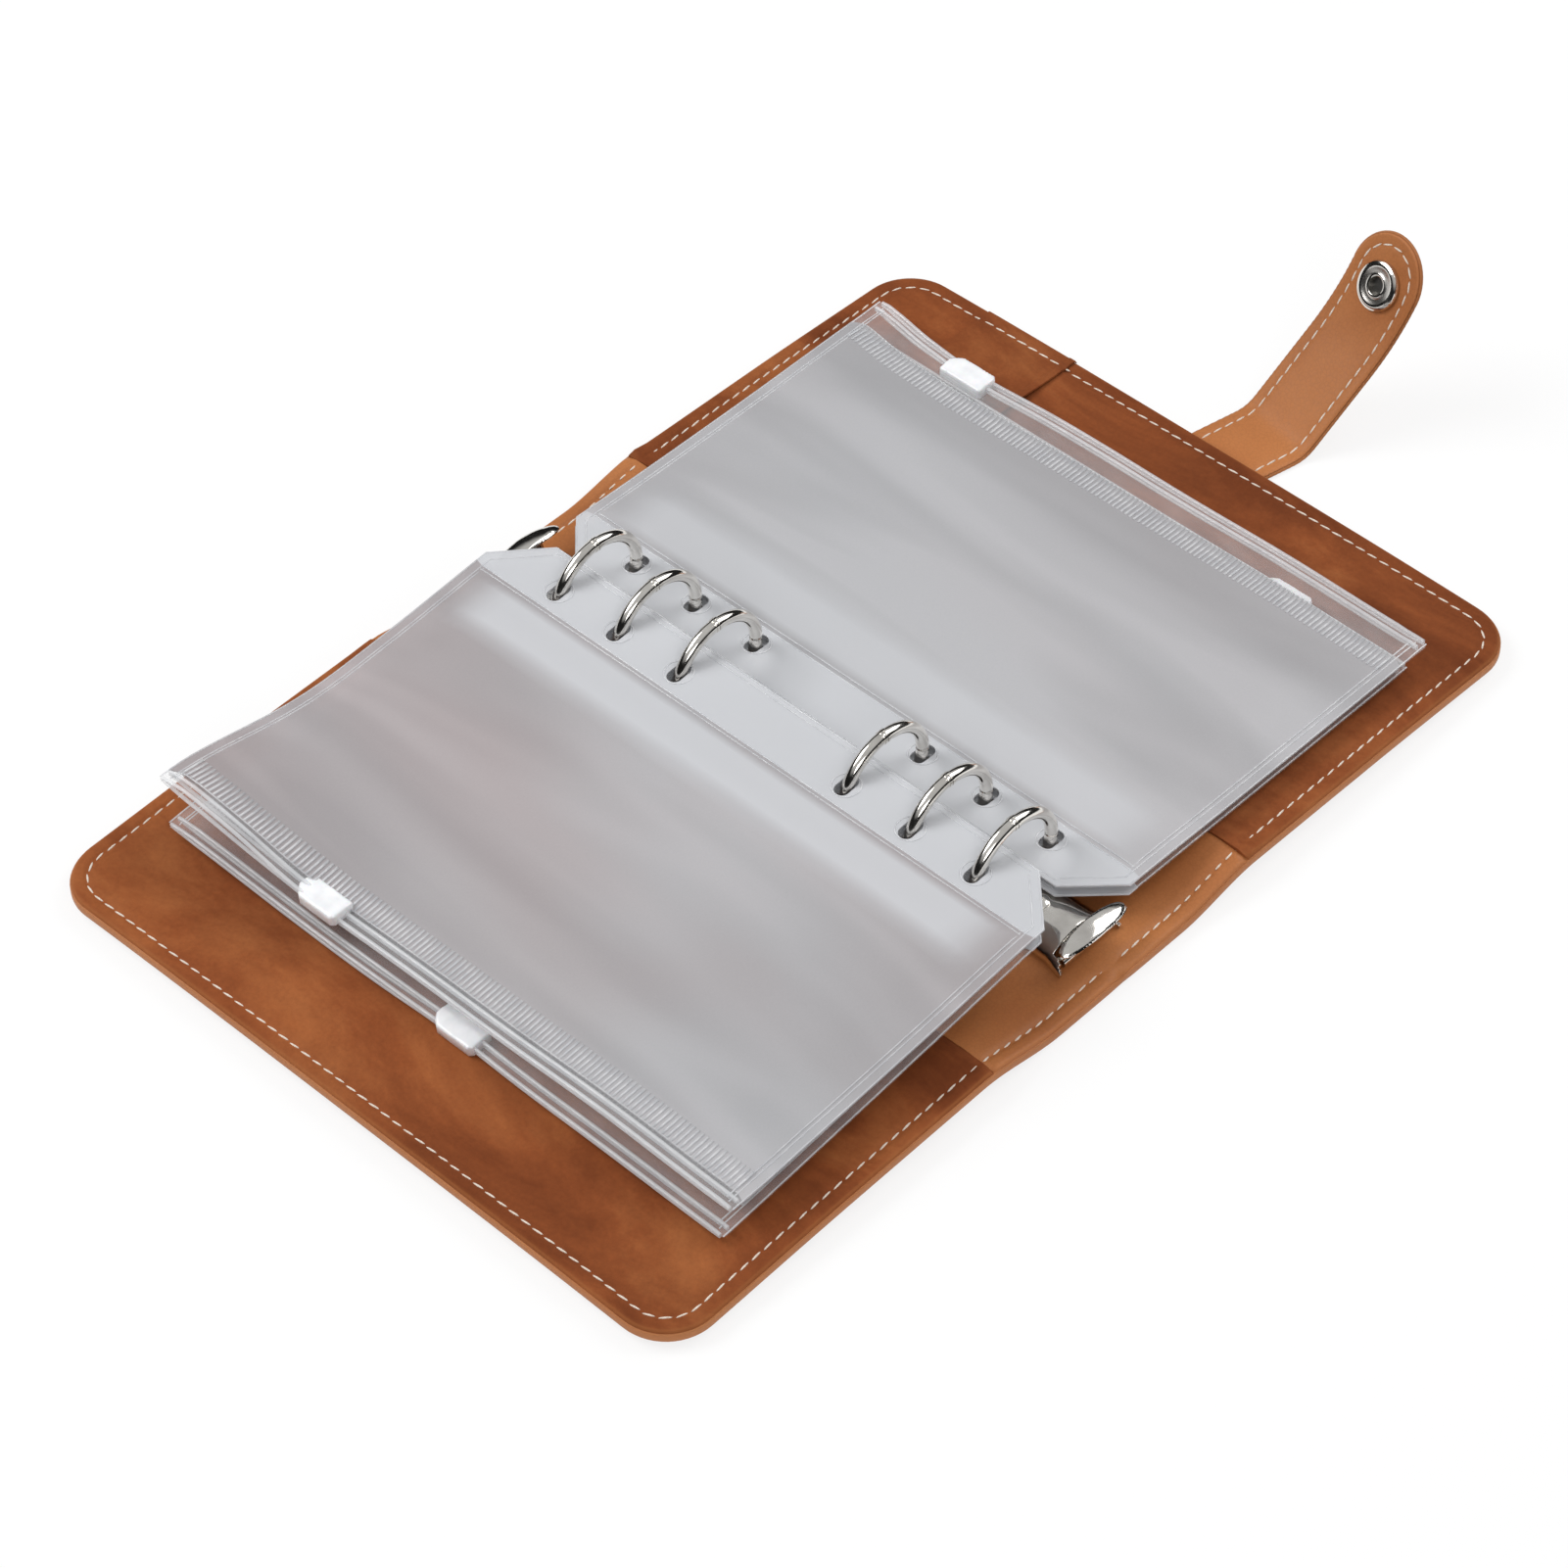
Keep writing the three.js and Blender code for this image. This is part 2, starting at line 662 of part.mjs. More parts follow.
// Slope of the strap's centre line at a distance from its root.
function strapSlopeAt(s) {
  if (s < strapFlat) {
    return 0;
  }
  if (s < strapFlat + strapKink) {
    return rad(strapSlope) * (s - strapFlat) / strapKink;
  }
  if (s < strapStraightEnd) {
    return rad(strapSlope);
  }
  const share = (s - strapStraightEnd) / (strapTipCentre - strapStraightEnd);
  return rad(THREE.MathUtils.lerp(strapSlope, strapTipSlope, Math.min(share, 1)));
}

// Point, slope and half width along the strap, the tip rounded off.
function strapLine() {
  const end = strapTipCentre + strapWidth / 2;
  const places = [-strapLead];
  for (let i = 0; i <= strapStations; i += 1) {
    places.push(strapTipCentre * i / strapStations);
  }
  for (let i = 1; i <= strapTipStations; i += 1) {
    const turn = rad(strapTipTurn) * i / strapTipStations;
    places.push(strapTipCentre + (end - strapTipCentre) * Math.sin(turn));
  }
  const points = [];
  let x = -strapLead;
  let z = strapLayer + layerGap / 2;
  let travelled = -strapLead;
  for (const place of places) {
    while (travelled < place - 1e-9) {
      const step = Math.min(strapFineStep, place - travelled);
      const slope = strapSlopeAt(travelled + step / 2);
      x += step * Math.cos(slope);
      z += step * Math.sin(slope);
      travelled += step;
    }
    const past = Math.max(0, place - strapTipCentre);
    const halfWidth = Math.sqrt(Math.max((strapWidth / 2) ** 2 - past ** 2, 0));
    points.push({ place, x, z, slope: strapSlopeAt(place), halfWidth });
  }
  return points;
}

// A strip of leather along the strap between two heights over its centre line.
function ribbon(points, low, high) {
  const positions = [];
  for (const p of points) {
    const normal = [-Math.sin(p.slope), Math.cos(p.slope)];
    for (const [offset, width] of [[low, -1], [low, 1], [high, 1], [high, -1]]) {
      positions.push(p.x + normal[0] * offset, width * p.halfWidth, p.z + normal[1] * offset);
    }
  }
  const index = [0, 2, 1, 0, 3, 2];
  for (let i = 0; i + 1 < points.length; i += 1) {
    for (let side = 0; side < 4; side += 1) {
      const a = 4 * i + side;
      const b = 4 * i + (side + 1) % 4;
      index.push(a, b, b + 4, a, b + 4, a + 4);
    }
  }
  const last = 4 * (points.length - 1);
  index.push(last, last + 1, last + 2, last, last + 2, last + 3);
  const geometry = new THREE.BufferGeometry();
  geometry.setAttribute('position', new THREE.Float32BufferAttribute(positions, 3));
  geometry.setIndex(index);
  return geometry;
}

// The strap in two sewn layers, with a snap socket on its face and a cap behind.
function addStrap() {
  const group = new THREE.Group();
  group.position.set(coverReach + strapRootGap, strapRootY, 0);
  group.rotation.z = rad(strapTurn);
  wallet.add(group);

  const points = strapLine();
  const seat = points.reduce((best, p) => (
    Math.abs(p.place - snapPlace) < Math.abs(best.place - snapPlace) ? p : best));
  const snapTurn = new THREE.Group();
  snapTurn.position.set(seat.x, 0, seat.z);
  snapTurn.rotation.y = -seat.slope;
  group.add(snapTurn);

  const bore = post(0, 0, snapShankRadius + snapShankClearance, -5, 5, 16);
  const boreAt = solidOf(bore.rotateY(-seat.slope).translate(seat.x, 0, seat.z));
  // The root is cut off parallel to the cover's fore edge.
  const spare = boxBetween([-2 * strapWidth, -strapWidth, -1], [0, strapWidth, 1 + 2 * strapLayer]);
  const cuts = boreAt.add(solidOf(spare.rotateZ(-rad(strapTurn))));
  const face = solidOf(ribbon(points, layerGap / 2, layerGap / 2 + strapLayer)).subtract(cuts);
  const back = solidOf(ribbon(points, -layerGap / 2 - strapLayer, -layerGap / 2)).subtract(cuts);
  addPiece(group, 'strap_face', geometryOf(face), tanLeather);
  addPiece(group, 'strap_back', geometryOf(back), tanLeather);

  const surface = layerGap / 2 + strapLayer + snapSeatGap;
  const socket = turned([
    [snapHoleRadius, surface],
    [snapRingRadius, surface],
    [snapRingRadius, surface + 0.4 * snapRingHeight],
    [snapRingRadius - 0.7, surface + 0.9 * snapRingHeight],
    [snapRingRadius - 1.6, surface + snapRingHeight],
    [snapHoleRadius + 0.5, surface + snapRingHeight],
    [snapHoleRadius, surface + 0.8 * snapRingHeight],
    [snapHoleRadius, surface],
  ]);
  addPiece(snapTurn, 'snap_socket', socket, nickel);
  const cap = turned([
    [0, -surface - snapCapHeight],
    [0.7 * snapCapRadius, -surface - 0.8 * snapCapHeight],
    [snapCapRadius, -surface - 0.3 * snapCapHeight],
    [snapCapRadius, -surface],
    [snapShankRadius, -surface],
    [snapShankRadius, surface + 0.3 * snapRingHeight],
    [0, surface + 0.3 * snapRingHeight],
  ]);
  addPiece(snapTurn, 'snap_cap', cap, nickel);

  // The sewn end of the strap under the back cover.
  const rootEnd = coverReach - 0.2;
  const root = boxBetween(
    [rootEnd - strapRootLength, strapRootY - strapWidth / 2, 0],
    [rootEnd, strapRootY + strapWidth / 2, foreLift - layerGap],
  );
  addPiece(wallet, 'strap_root', root, tanLeather);
}

// The stud on the outside of the front cover, under it while the wallet lies open.
function addStud() {
  const flangeTop = liftAt(studPlace) - studSeatGap;
  const flangeBase = flangeTop - studFlangeHeight;
  const stud = turned([
    [0, flangeBase - studPostHeight],
    [studPostRadius, flangeBase - studPostHeight],
    [studPostRadius, flangeBase - 0.5 * studPostHeight],
    [studNeckRadius, flangeBase],
    [studFlangeRadius, flangeBase],
    [studFlangeRadius, flangeTop],
    [0, flangeTop],
  ]);
  addPiece(wallet, 'snap_stud', stud.translate(studPlace, strapRootY, 0), nickel);
}

addSpine();
addCover(-1, 'front', 0);
addCover(1, 'back', backLipHeight);
addPocketBand();
addPlate();
addRivets();
addRingSet(-1, 'left');
addRingSet(1, 'right');
addLever(-1, 'lever_near');
addLever(1, 'lever_far');
envelopes.forEach(addEnvelope);
addStrap();
addStud();

export default wallet;
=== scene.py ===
import math

import bpy
import numpy as np
from mathutils import Matrix, Vector
from mathutils.geometry import delaunay_2d_cdt


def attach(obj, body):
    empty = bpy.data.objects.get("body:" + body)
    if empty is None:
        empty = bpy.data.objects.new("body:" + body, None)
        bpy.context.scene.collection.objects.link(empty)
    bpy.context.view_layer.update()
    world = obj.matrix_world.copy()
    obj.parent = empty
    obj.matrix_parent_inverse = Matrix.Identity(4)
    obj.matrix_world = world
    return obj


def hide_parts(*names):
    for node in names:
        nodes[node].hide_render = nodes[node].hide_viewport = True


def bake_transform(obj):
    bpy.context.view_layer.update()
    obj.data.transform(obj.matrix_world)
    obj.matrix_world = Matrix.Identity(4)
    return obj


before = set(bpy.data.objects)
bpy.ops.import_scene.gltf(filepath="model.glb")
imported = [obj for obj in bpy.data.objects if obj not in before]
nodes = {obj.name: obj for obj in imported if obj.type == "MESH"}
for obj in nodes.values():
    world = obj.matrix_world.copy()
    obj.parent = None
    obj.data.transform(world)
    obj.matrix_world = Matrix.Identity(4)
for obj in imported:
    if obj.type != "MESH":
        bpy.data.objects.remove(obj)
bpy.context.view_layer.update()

mm = 0.001


# Node trees

# Sets inputs by name or number: a node or a socket is linked, any other value is typed in
def feed(tree, node, inputs):
    for key, value in inputs.items():
        if isinstance(value, bpy.types.Node):
            value = value.outputs[0]
        if isinstance(value, bpy.types.NodeSocket):
            tree.links.new(value, node.inputs[key])
        else:
            node.inputs[key].default_value = value


def addNode(tree, kind, inputs=None, **settings):
    node = tree.nodes.new(kind)
    for key, value in settings.items():
        setattr(node, key, value)
    feed(tree, node, inputs or {})
    return node


def startMaterial(name):
    material = bpy.data.materials.new(name)
    material.use_nodes = True
    tree = material.node_tree
    tree.nodes.clear()
    shader = addNode(tree, "ShaderNodeBsdfPrincipled")
    addNode(tree, "ShaderNodeOutputMaterial", {"Surface": shader})
    return material, tree, shader


# Object coordinates in metres, stretched and turned
def objectVector(tree, scale=(1, 1, 1), turn=0):
    coords = addNode(tree, "ShaderNodeTexCoord").outputs["Object"]
    inputs = {"Vector": coords, "Scale": scale, "Rotation": (0, 0, math.radians(turn))}
    return addNode(tree, "ShaderNodeMapping", inputs)


def noiseOf(tree, vector, scale, detail=3, roughness=0.5, distortion=0):
    inputs = {"Vector": vector, "Scale": scale, "Detail": detail, "Roughness": roughness, "Distortion": distortion}
    return addNode(tree, "ShaderNodeTexNoise", inputs).outputs["Fac"]


def cellsOf(tree, vector, scale):
    return addNode(tree, "ShaderNodeTexVoronoi", {"Vector": vector, "Scale": scale}, feature="DISTANCE_TO_EDGE")


def rampOf(tree, factor, stops):
    ramp = addNode(tree, "ShaderNodeValToRGB", {"Fac": factor})
    while len(ramp.color_ramp.elements) < len(stops):
        ramp.color_ramp.elements.new(0.5)
    for element, (place, colour) in zip(ramp.color_ramp.elements, stops):
        element.position = place
        element.color = (*colour, 1)
    return ramp


def greyRamp(tree, factor, stops):
    return rampOf(tree, factor, [(place, (value, value, value)) for place, value in stops])


def mixOf(tree, factor, first, second, blend="MIX"):
    first, second = ((*v, 1) if isinstance(v, tuple) else v for v in (first, second))
    inputs = {0: factor, 6: first, 7: second}
    return addNode(tree, "ShaderNodeMix", inputs, data_type="RGBA", blend_type=blend).outputs[2]


# A colour with a grey ramp of a texture laid over it
def overlaid(tree, share, base, texture, stops, blend="OVERLAY"):
    return mixOf(tree, share, base, greyRamp(tree, texture, stops), blend)


def attributeOf(tree, name):
    return addNode(tree, "ShaderNodeAttribute", attribute_name=name).outputs["Fac"]


# Bumps one over the other, each a height, its strength and its depth in millimetres
def bumpOf(tree, shader, heights):
    normal = {}
    for height, strength, distance in heights:
        inputs = {"Height": height, "Strength": strength, "Distance": distance * mm, **normal}
        normal = {"Normal": addNode(tree, "ShaderNodeBump", inputs)}
    feed(tree, shader, normal)


# A colour as a person reads it on a screen, 0 to 255, turned into the shader's own scale
def seen(*channels):
    shares = [value / 255 for value in channels]
    return tuple(v / 12.92 if v <= 0.04045 else ((v + 0.055) / 1.055) ** 2.4 for v in shares)


# Materials; each noise is given as scale, detail, roughness and distortion

suedeFinish = {
    "dark": seen(112, 56, 25), "middle": seen(134, 71, 34), "light": seen(160, 94, 50),
    "wornEdge": seen(172, 106, 60), "sheenTint": seen(206, 146, 92), "sheen": 0.12, "roughness": 0.8,
    "patches": (36, 6, 0.62, 0.5), "smears": (70, 4, 0.6, 0.4), "nap": (900, 4, 0.7), "grainScale": 620,
}


def suedeMaterial(name, shade=1.0):
    material, tree, shader = startMaterial(name)
    f = suedeFinish
    straight = objectVector(tree)
    patches = noiseOf(tree, objectVector(tree, (1, 0.45, 1), 35), *f["patches"])
    smears = noiseOf(tree, objectVector(tree, (1, 0.3, 1), -20), *f["smears"])
    nap = noiseOf(tree, straight, *f["nap"])
    base = rampOf(tree, patches, [(0.36, f["dark"]), (0.5, f["middle"]), (0.66, f["light"])])
    smeared = overlaid(tree, 0.35, base, smears, [(0.3, 0.35), (0.7, 0.65)])
    napped = overlaid(tree, 0.28, smeared, nap, [(0.25, 0.3), (0.75, 0.7)])
    # A shade below 1 darkens the whole copy: painted shade
    shaded = mixOf(tree, 1.0, napped, (shade, shade * 0.98, shade * 0.96), "MULTIPLY")
    feed(tree, shader, {
        "Base Color": mixOf(tree, attributeOf(tree, "edgeWear"), shaded, f["wornEdge"]),
        "Roughness": greyRamp(tree, patches, [(0.3, f["roughness"] + 0.1), (0.7, f["roughness"] - 0.12)]),
        "Sheen Weight": f["sheen"], "Sheen Roughness": 0.45, "Sheen Tint": (*f["sheenTint"], 1),
        "Specular IOR Level": 0.2,
    })
    bumpOf(tree, shader, [(nap, 0.5, 0.1), (cellsOf(tree, straight, f["grainScale"]), 0.15, 0.08)])
    return material


leatherFinish = {
    "dark": seen(164, 99, 54), "light": seen(190, 123, 72), "wornEdge": seen(190, 124, 78), "roughness": 0.5,
    "clouds": (22, 4, 0.55, 0.3), "specks": (1500, 3, 0.6), "grainScale": 850,
}


def leatherMaterial(name, shade=1.0):
    material, tree, shader = startMaterial(name)
    f = leatherFinish
    straight = objectVector(tree)
    specks = noiseOf(tree, straight, *f["specks"])
    grain = cellsOf(tree, straight, f["grainScale"])
    base = rampOf(tree, noiseOf(tree, straight, *f["clouds"]), [(0.3, f["dark"]), (0.7, f["light"])])
    speckled = overlaid(tree, 0.16, base, specks, [(0.3, 0.35), (0.7, 0.65)])
    pored = overlaid(tree, 0.2, speckled, grain, [(0.0, 0.6), (0.12, 1.0)], "MULTIPLY")
    # A shade below 1 darkens the whole copy: painted shade
    shaded = mixOf(tree, 1.0, pored, (shade, shade, shade), "MULTIPLY")
    feed(tree, shader, {
        "Base Color": mixOf(tree, attributeOf(tree, "edgeWear"), shaded, f["wornEdge"]),
        "Roughness": greyRamp(tree, specks, [(0.3, f["roughness"] - 0.06), (0.7, f["roughness"] + 0.1)]),
        "Specular IOR Level": 0.25,
    })
    bumpOf(tree, shader, [(grain, 0.22, 0.06), (specks, 0.25, 0.04)])
    return material


nickelFinish = {
    "dark": seen(214, 210, 204), "light": seen(240, 237, 231), "clouds": (160, 3, 0.5), "scratches": (900, 2, 0.5),
}


def nickelMaterial(name, shade=1.0, roughness=0.1):
    material, tree, shader = startMaterial(name)
    f = nickelFinish
    clouds = noiseOf(tree, objectVector(tree), *f["clouds"])
    scratches = noiseOf(tree, objectVector(tree, (1, 14, 1), 12), *f["scratches"])
    base = rampOf(tree, clouds, [(0.3, f["dark"]), (0.7, f["light"])])
    feed(tree, shader, {
        "Base Color": mixOf(tree, 1.0, base, (shade, shade, shade), "MULTIPLY"), "Metallic": 1,
        "Roughness": greyRamp(tree, clouds, [(0.3, roughness - 0.03), (0.7, roughness + 0.06)]),
    })
    bumpOf(tree, shader, [(scratches, 0.03, 0.02)])
    return material


filmFinish = {
    "cool": seen(183, 184, 187), "warm": seen(174, 160, 160), "paintedLight": seen(217, 219, 223),
    "streaks": (42, 2, 0.45, 0.5), "clouds": (14, 2, 0.5, 0.3), "frost": (2400, 2, 0.6),
}


# Frosted film: milky, with long soft streaks, paler where painted light is given, and a painted highlight beside the
# binding
def filmMaterial(name, warmth, alpha, pale=0.0, roughness=0.4):
    material, tree, shader = startMaterial(name)
    f = filmFinish
    streaks = noiseOf(tree, objectVector(tree, (1, 0.16, 1), 8), *f["streaks"])
    clouds = noiseOf(tree, objectVector(tree, (1, 0.5, 1)), *f["clouds"])
    frost = noiseOf(tree, objectVector(tree), *f["frost"])
    tone = mixOf(tree, greyRamp(tree, clouds, [(0.3, 0.1), (0.7, 0.9)]), f["cool"], f["warm"])
    body = mixOf(tree, warmth, f["cool"], tone)
    # The streaks also lighten and darken the colour, painting part of the highlight and shade of the film's waves
    streaked = overlaid(tree, 0.4, body, streaks, [(0.34, 0.36), (0.5, 0.5), (0.66, 0.68)])
    frosted = overlaid(tree, 0.1, streaked, frost, [(0.3, 0.4), (0.7, 0.6)])
    # Painted light: a share of pale colour stands in for light that passes through the stacked films
    whiter = mixOf(tree, pale, frosted, f["paintedLight"])
    # Painted highlight: paler where each envelope marks the pouch's swell beside the binding
    paintedLight = mixOf(tree, attributeOf(tree, "paintedHighlight"), whiter, f["paintedLight"])
    feed(tree, shader, {"Base Color": paintedLight, "Alpha": alpha, "Roughness": roughness, "IOR": 1.45})
    bumpOf(tree, shader, [(streaks, 0.3, 1.2), (frost, 0.12, 0.03)])
    return material


clearFinish = {"light": seen(244, 245, 247), "ripples": (260, 2, 0.5, 0.4), "ior": 1.5, "specular": 0.8}


def clearMaterial(name, alpha, roughness, colour):
    material, tree, shader = startMaterial(name)
    f = clearFinish
    ripples = noiseOf(tree, objectVector(tree, (1, 0.4, 1)), *f["ripples"])
    base = mixOf(tree, greyRamp(tree, ripples, [(0.35, 0), (0.65, 1)]), colour, f["light"])
    feed(tree, shader, {
        "Base Color": base, "Alpha": alpha, "Roughness": roughness, "IOR": f["ior"],
        "Specular IOR Level": f["specular"],
    })
    bumpOf(tree, shader, [(ripples, 0.15, 0.12)])
    return material


plainFinishes = {
    "offWhiteThread": {
        "dark": seen(206, 190, 172), "light": seen(244, 236, 224), "noise": (2600, 3, 0.6), "bump": (0.5, 0.08),
        "shader": {"Roughness": 0.7, "Sheen Weight": 0.2},
    },
    "whitePlastic": {
        "dark": seen(232, 234, 237), "light": seen(246, 247, 249), "noise": (300, 2, 0.5), "bump": (0.1, 0.05),
        "shader": {"Roughness": 0.28, "Coat Weight": 0.3, "Subsurface Weight": 0.08, "Subsurface Scale": 0.001},
    },
}


def plainMaterial(name):
    material, tree, shader = startMaterial(name)
    f = plainFinishes[name]
    texture = noiseOf(tree, objectVector(tree), *f["noise"])
    base = rampOf(tree, texture, [(0.3, f["dark"]), (0.7, f["light"])])
    feed(tree, shader, {"Base Color": base, **f["shader"]})
    bumpOf(tree, shader, [(texture, *f["bump"])])
    return material


suede = suedeMaterial("brownSuede")
# Painted shade: the pocket band's suede and the back cover's suede are darkened copies of the same suede
suedeDark = suedeMaterial("brownSuedeBandShaded", 0.86)
suedeBack = suedeMaterial("brownSuedeBackShaded", 0.93)
tanLeather = leatherMaterial("tanLeather")
# Painted shade: darkened copies of the tan leather for the covers' outer shell and underside, and for the strap's back
# layer
tanEdge = leatherMaterial("tanLeatherUndersideShaded", 0.94)
strapBackLeather = leatherMaterial("strapBackLeather", 0.8)
thread = plainMaterial("offWhiteThread")
nickel = nickelMaterial("polishedNickel")
# Painted shade: darkened copies of the nickel for the snap socket's hole and for the groove round it
darkNickel = nickelMaterial("shadedNickel", 0.1, 0.45)
grooveShadeNickel = nickelMaterial("grooveShadedNickel", 0.62, 0.25)
filmWarm = filmMaterial("frostedFilmLeft", 0.9, 0.84)
filmCool = filmMaterial("frostedFilmRight", 0.25, 0.84)
# Painted light: the lower films and the binding are paler, standing in for light through the stacked films
filmWarmLower = filmMaterial("frostedFilmLeftLower", 0.6, 0.7, 0.75)
filmCoolLower = filmMaterial("frostedFilmRightLower", 0.2, 0.7, 0.75)
bindingFilm = filmMaterial("bindingFilm", 0.3, 0.8, 0.85, 0.25)
clearFilm = clearMaterial("clearFilm", 0.14, 0.08, seen(226, 226, 228))
weldFilm = clearMaterial("weldedFilm", 0.5, 0.15, seen(224, 226, 230))
zipFilm = clearMaterial("zipTrack", 0.42, 0.12, seen(236, 238, 241))
ribFilm = clearMaterial("ribbedFilm", 0.62, 0.25, seen(224, 226, 230))
whitePlastic = plainMaterial("whitePlastic")
print("materials ready")


# Meshes, with points in millimetres

def addObject(name, data):
    piece = bpy.data.objects.new(name, data)
    bpy.context.scene.collection.objects.link(piece)
    return piece


def meshFrom(name, points, faces, materials, attributes=None, faceMaterial=None, sharp=45):
    mesh = bpy.data.meshes.new(name)
    mesh.from_pydata((np.asarray(points, float) * mm).tolist(), [], [list(map(int, f)) for f in faces])
    for material in materials:
        mesh.materials.append(material)
    mesh.polygons.foreach_set("use_smooth", [True] * len(mesh.polygons))
    if faceMaterial is not None:
        mesh.polygons.foreach_set("material_index", np.asarray(faceMaterial, int))
    for key, values in (attributes or {}).items():
        layer = mesh.attributes.new(key, "FLOAT", "POINT")
        layer.data.foreach_set("value", np.asarray(values, np.float32))
    mesh.update()
    mesh.set_sharp_from_angle(angle=math.radians(sharp))
    return addObject(name, mesh)


# Points that no face uses are left out; the third result lists those kept
def withoutLoose(points, faces):
    keep = sorted({i for f in faces for i in f})
    renumber = {old: new for new, old in enumerate(keep)}
    return np.asarray(points, float)[keep], [[renumber[i] for i in f] for f in faces], keep


# How far a point lies outside a slot with round ends, given as (x, y, half length, half width)
def outsideSlot(point, slot):
    past = max(abs(point[0] - slot[0]) - slot[2] + slot[3], 0)
    return math.hypot(past, point[1] - slot[1]) - slot[3]


planSizes = {"slotSides": 32, "slotMargin": 0.35, "joinWithin": 1e-4, "leastArea": 1e-9}


# Triangles over a plan outline, with the slots for the rings left out
def planTriangles(outline, inner, holes=()):
    sides = planSizes["slotSides"]
    points = [Vector(p) for p in outline]
    edges = [(i, (i + 1) % len(outline)) for i in range(len(outline))]
    for x, y, length, width in holes:
        start = len(points)
        for i in range(sides):
            angle = 2 * math.pi * i / sides
            reach = math.copysign(length - width, math.cos(angle + 0.001)) + width * math.cos(angle)
            points.append(Vector((x + reach, y + width * math.sin(angle))))
        edges += [(start + i, start + (i + 1) % sides) for i in range(sides)]
    points += [Vector(p) for p in inner if all(outsideSlot(p, h) > planSizes["slotMargin"] for h in holes)]
    found = delaunay_2d_cdt(points, edges, [], 1, planSizes["joinWithin"])
    plan = np.array([tuple(v) for v in found[0]])
    faces = []
    for face in found[2]:
        corners = plan[list(face)]
        a, b, c = corners[:3]
        turn = (b[0] - a[0]) * (c[1] - a[1]) - (b[1] - a[1]) * (c[0] - a[0])
        inHole = any(outsideSlot(corners.mean(0), h) < 0 for h in holes)
        if not inHole and abs(turn) >= planSizes["leastArea"]:
            faces.append(list(face) if turn > 0 else list(face)[::-1])
    return plan, faces


# A closed sheet over a plan, from the heights or the placed points of its upper and lower faces
def closedSheet(name, plan, faces, upper, lower, materials, attributes=None, materialOf=None, sharp=45):
    if np.ndim(upper) == 1:
        upper, lower = np.column_stack([plan, upper]), np.column_stack([plan, lower])
    count = len(plan)
    used = {(a, b): True for face in faces for a, b in zip(face, face[1:] + face[:1])}
    allFaces = faces + [[i + count for i in reversed(f)] for f in faces]
    allFaces += [[b, a, a + count, b + count] for a, b in used if (b, a) not in used]
    faceMaterial = None
    if materialOf:
        both = np.vstack([plan, plan])
        faceMaterial = [materialOf(both[f].mean(0)) for f in allFaces]
    points, allFaces, keep = withoutLoose(np.vstack([upper, lower]), allFaces)
    values = {key: np.tile(value, 2)[keep] for key, value in (attributes or {}).items()}
    return meshFrom(name, points, allFaces, materials, values, faceMaterial, sharp)


# An outline on the +X side, and the points inside it, taken to the given side
def takenToSide(side, outline, inner):
    outline = [(side * x, y) for x, y in outline]
    return outline[::side], [(side * x, y) for x, y in inner]


def smooth(low, high, value):
    t = np.clip((np.asarray(value, float) - low) / (high - low), 0, 1)
    return t * t * (3 - 2 * t)


# Height of a soft ridge of the given half width
def bell(distance, width):
    return np.exp(-(distance / width) ** 2)


# Drop of a rounded edge of radius r at a distance d in from it
def roundedDrop(d, r):
    t = np.clip((r - np.asarray(d, float)) / r, 0, 1)
    return r * (1 - np.sqrt(np.maximum(1 - t * t, 0)))


# Geometry Nodes: one tree sweeps a section along paths, one sets small pieces along them

def newTree(name, inputs):
    tree = bpy.data.node_groups.new(name, "GeometryNodeTree")
    for key, (kind, value) in {"Path": ("Geometry", None), **inputs}.items():
        socket = tree.interface.new_socket(key, in_out="INPUT", socket_type="NodeSocket" + kind)
        if value is not None:
            socket.default_value = value
    tree.interface.new_socket("Result", in_out="OUTPUT", socket_type="NodeSocketGeometry")
    return tree, addNode(tree, "NodeGroupInput").outputs


def endTree(tree, given, geometry):
    real = addNode(tree, "GeometryNodeRealizeInstances", {"Geometry": geometry})
    shade = addNode(tree, "GeometryNodeSetShadeSmooth", {"Geometry": real})
    finish = addNode(tree, "GeometryNodeSetMaterial", {"Geometry": shade, "Material": given["Finish"]})
    addNode(tree, "NodeGroupOutput", {"Result": finish})
    return tree


def sweepTree():
    tree, given = newTree("sweepAlongPath", {
        "Radius": ("Float", 0.001), "Flatness": ("Float", 1.0), "Sides": ("Int", 12), "Finish": ("Material", None),
    })
    curve = addNode(tree, "GeometryNodeMeshToCurve", {"Mesh": given["Path"]})
    upright = addNode(tree, "GeometryNodeSetCurveNormal", {"Curve": curve}, mode="Z_UP")
    sizes = {"Resolution": given["Sides"], "Radius": given["Radius"]}
    circle = addNode(tree, "GeometryNodeCurvePrimitiveCircle", sizes)
    stretch = addNode(tree, "ShaderNodeCombineXYZ", {"X": 1, "Y": given["Flatness"], "Z": 1})
    section = addNode(tree, "GeometryNodeTransform", {"Geometry": circle, "Scale": stretch})
    sweep = {"Curve": upright, "Profile Curve": section, "Fill Caps": True}
    return endTree(tree, given, addNode(tree, "GeometryNodeCurveToMesh", sweep))


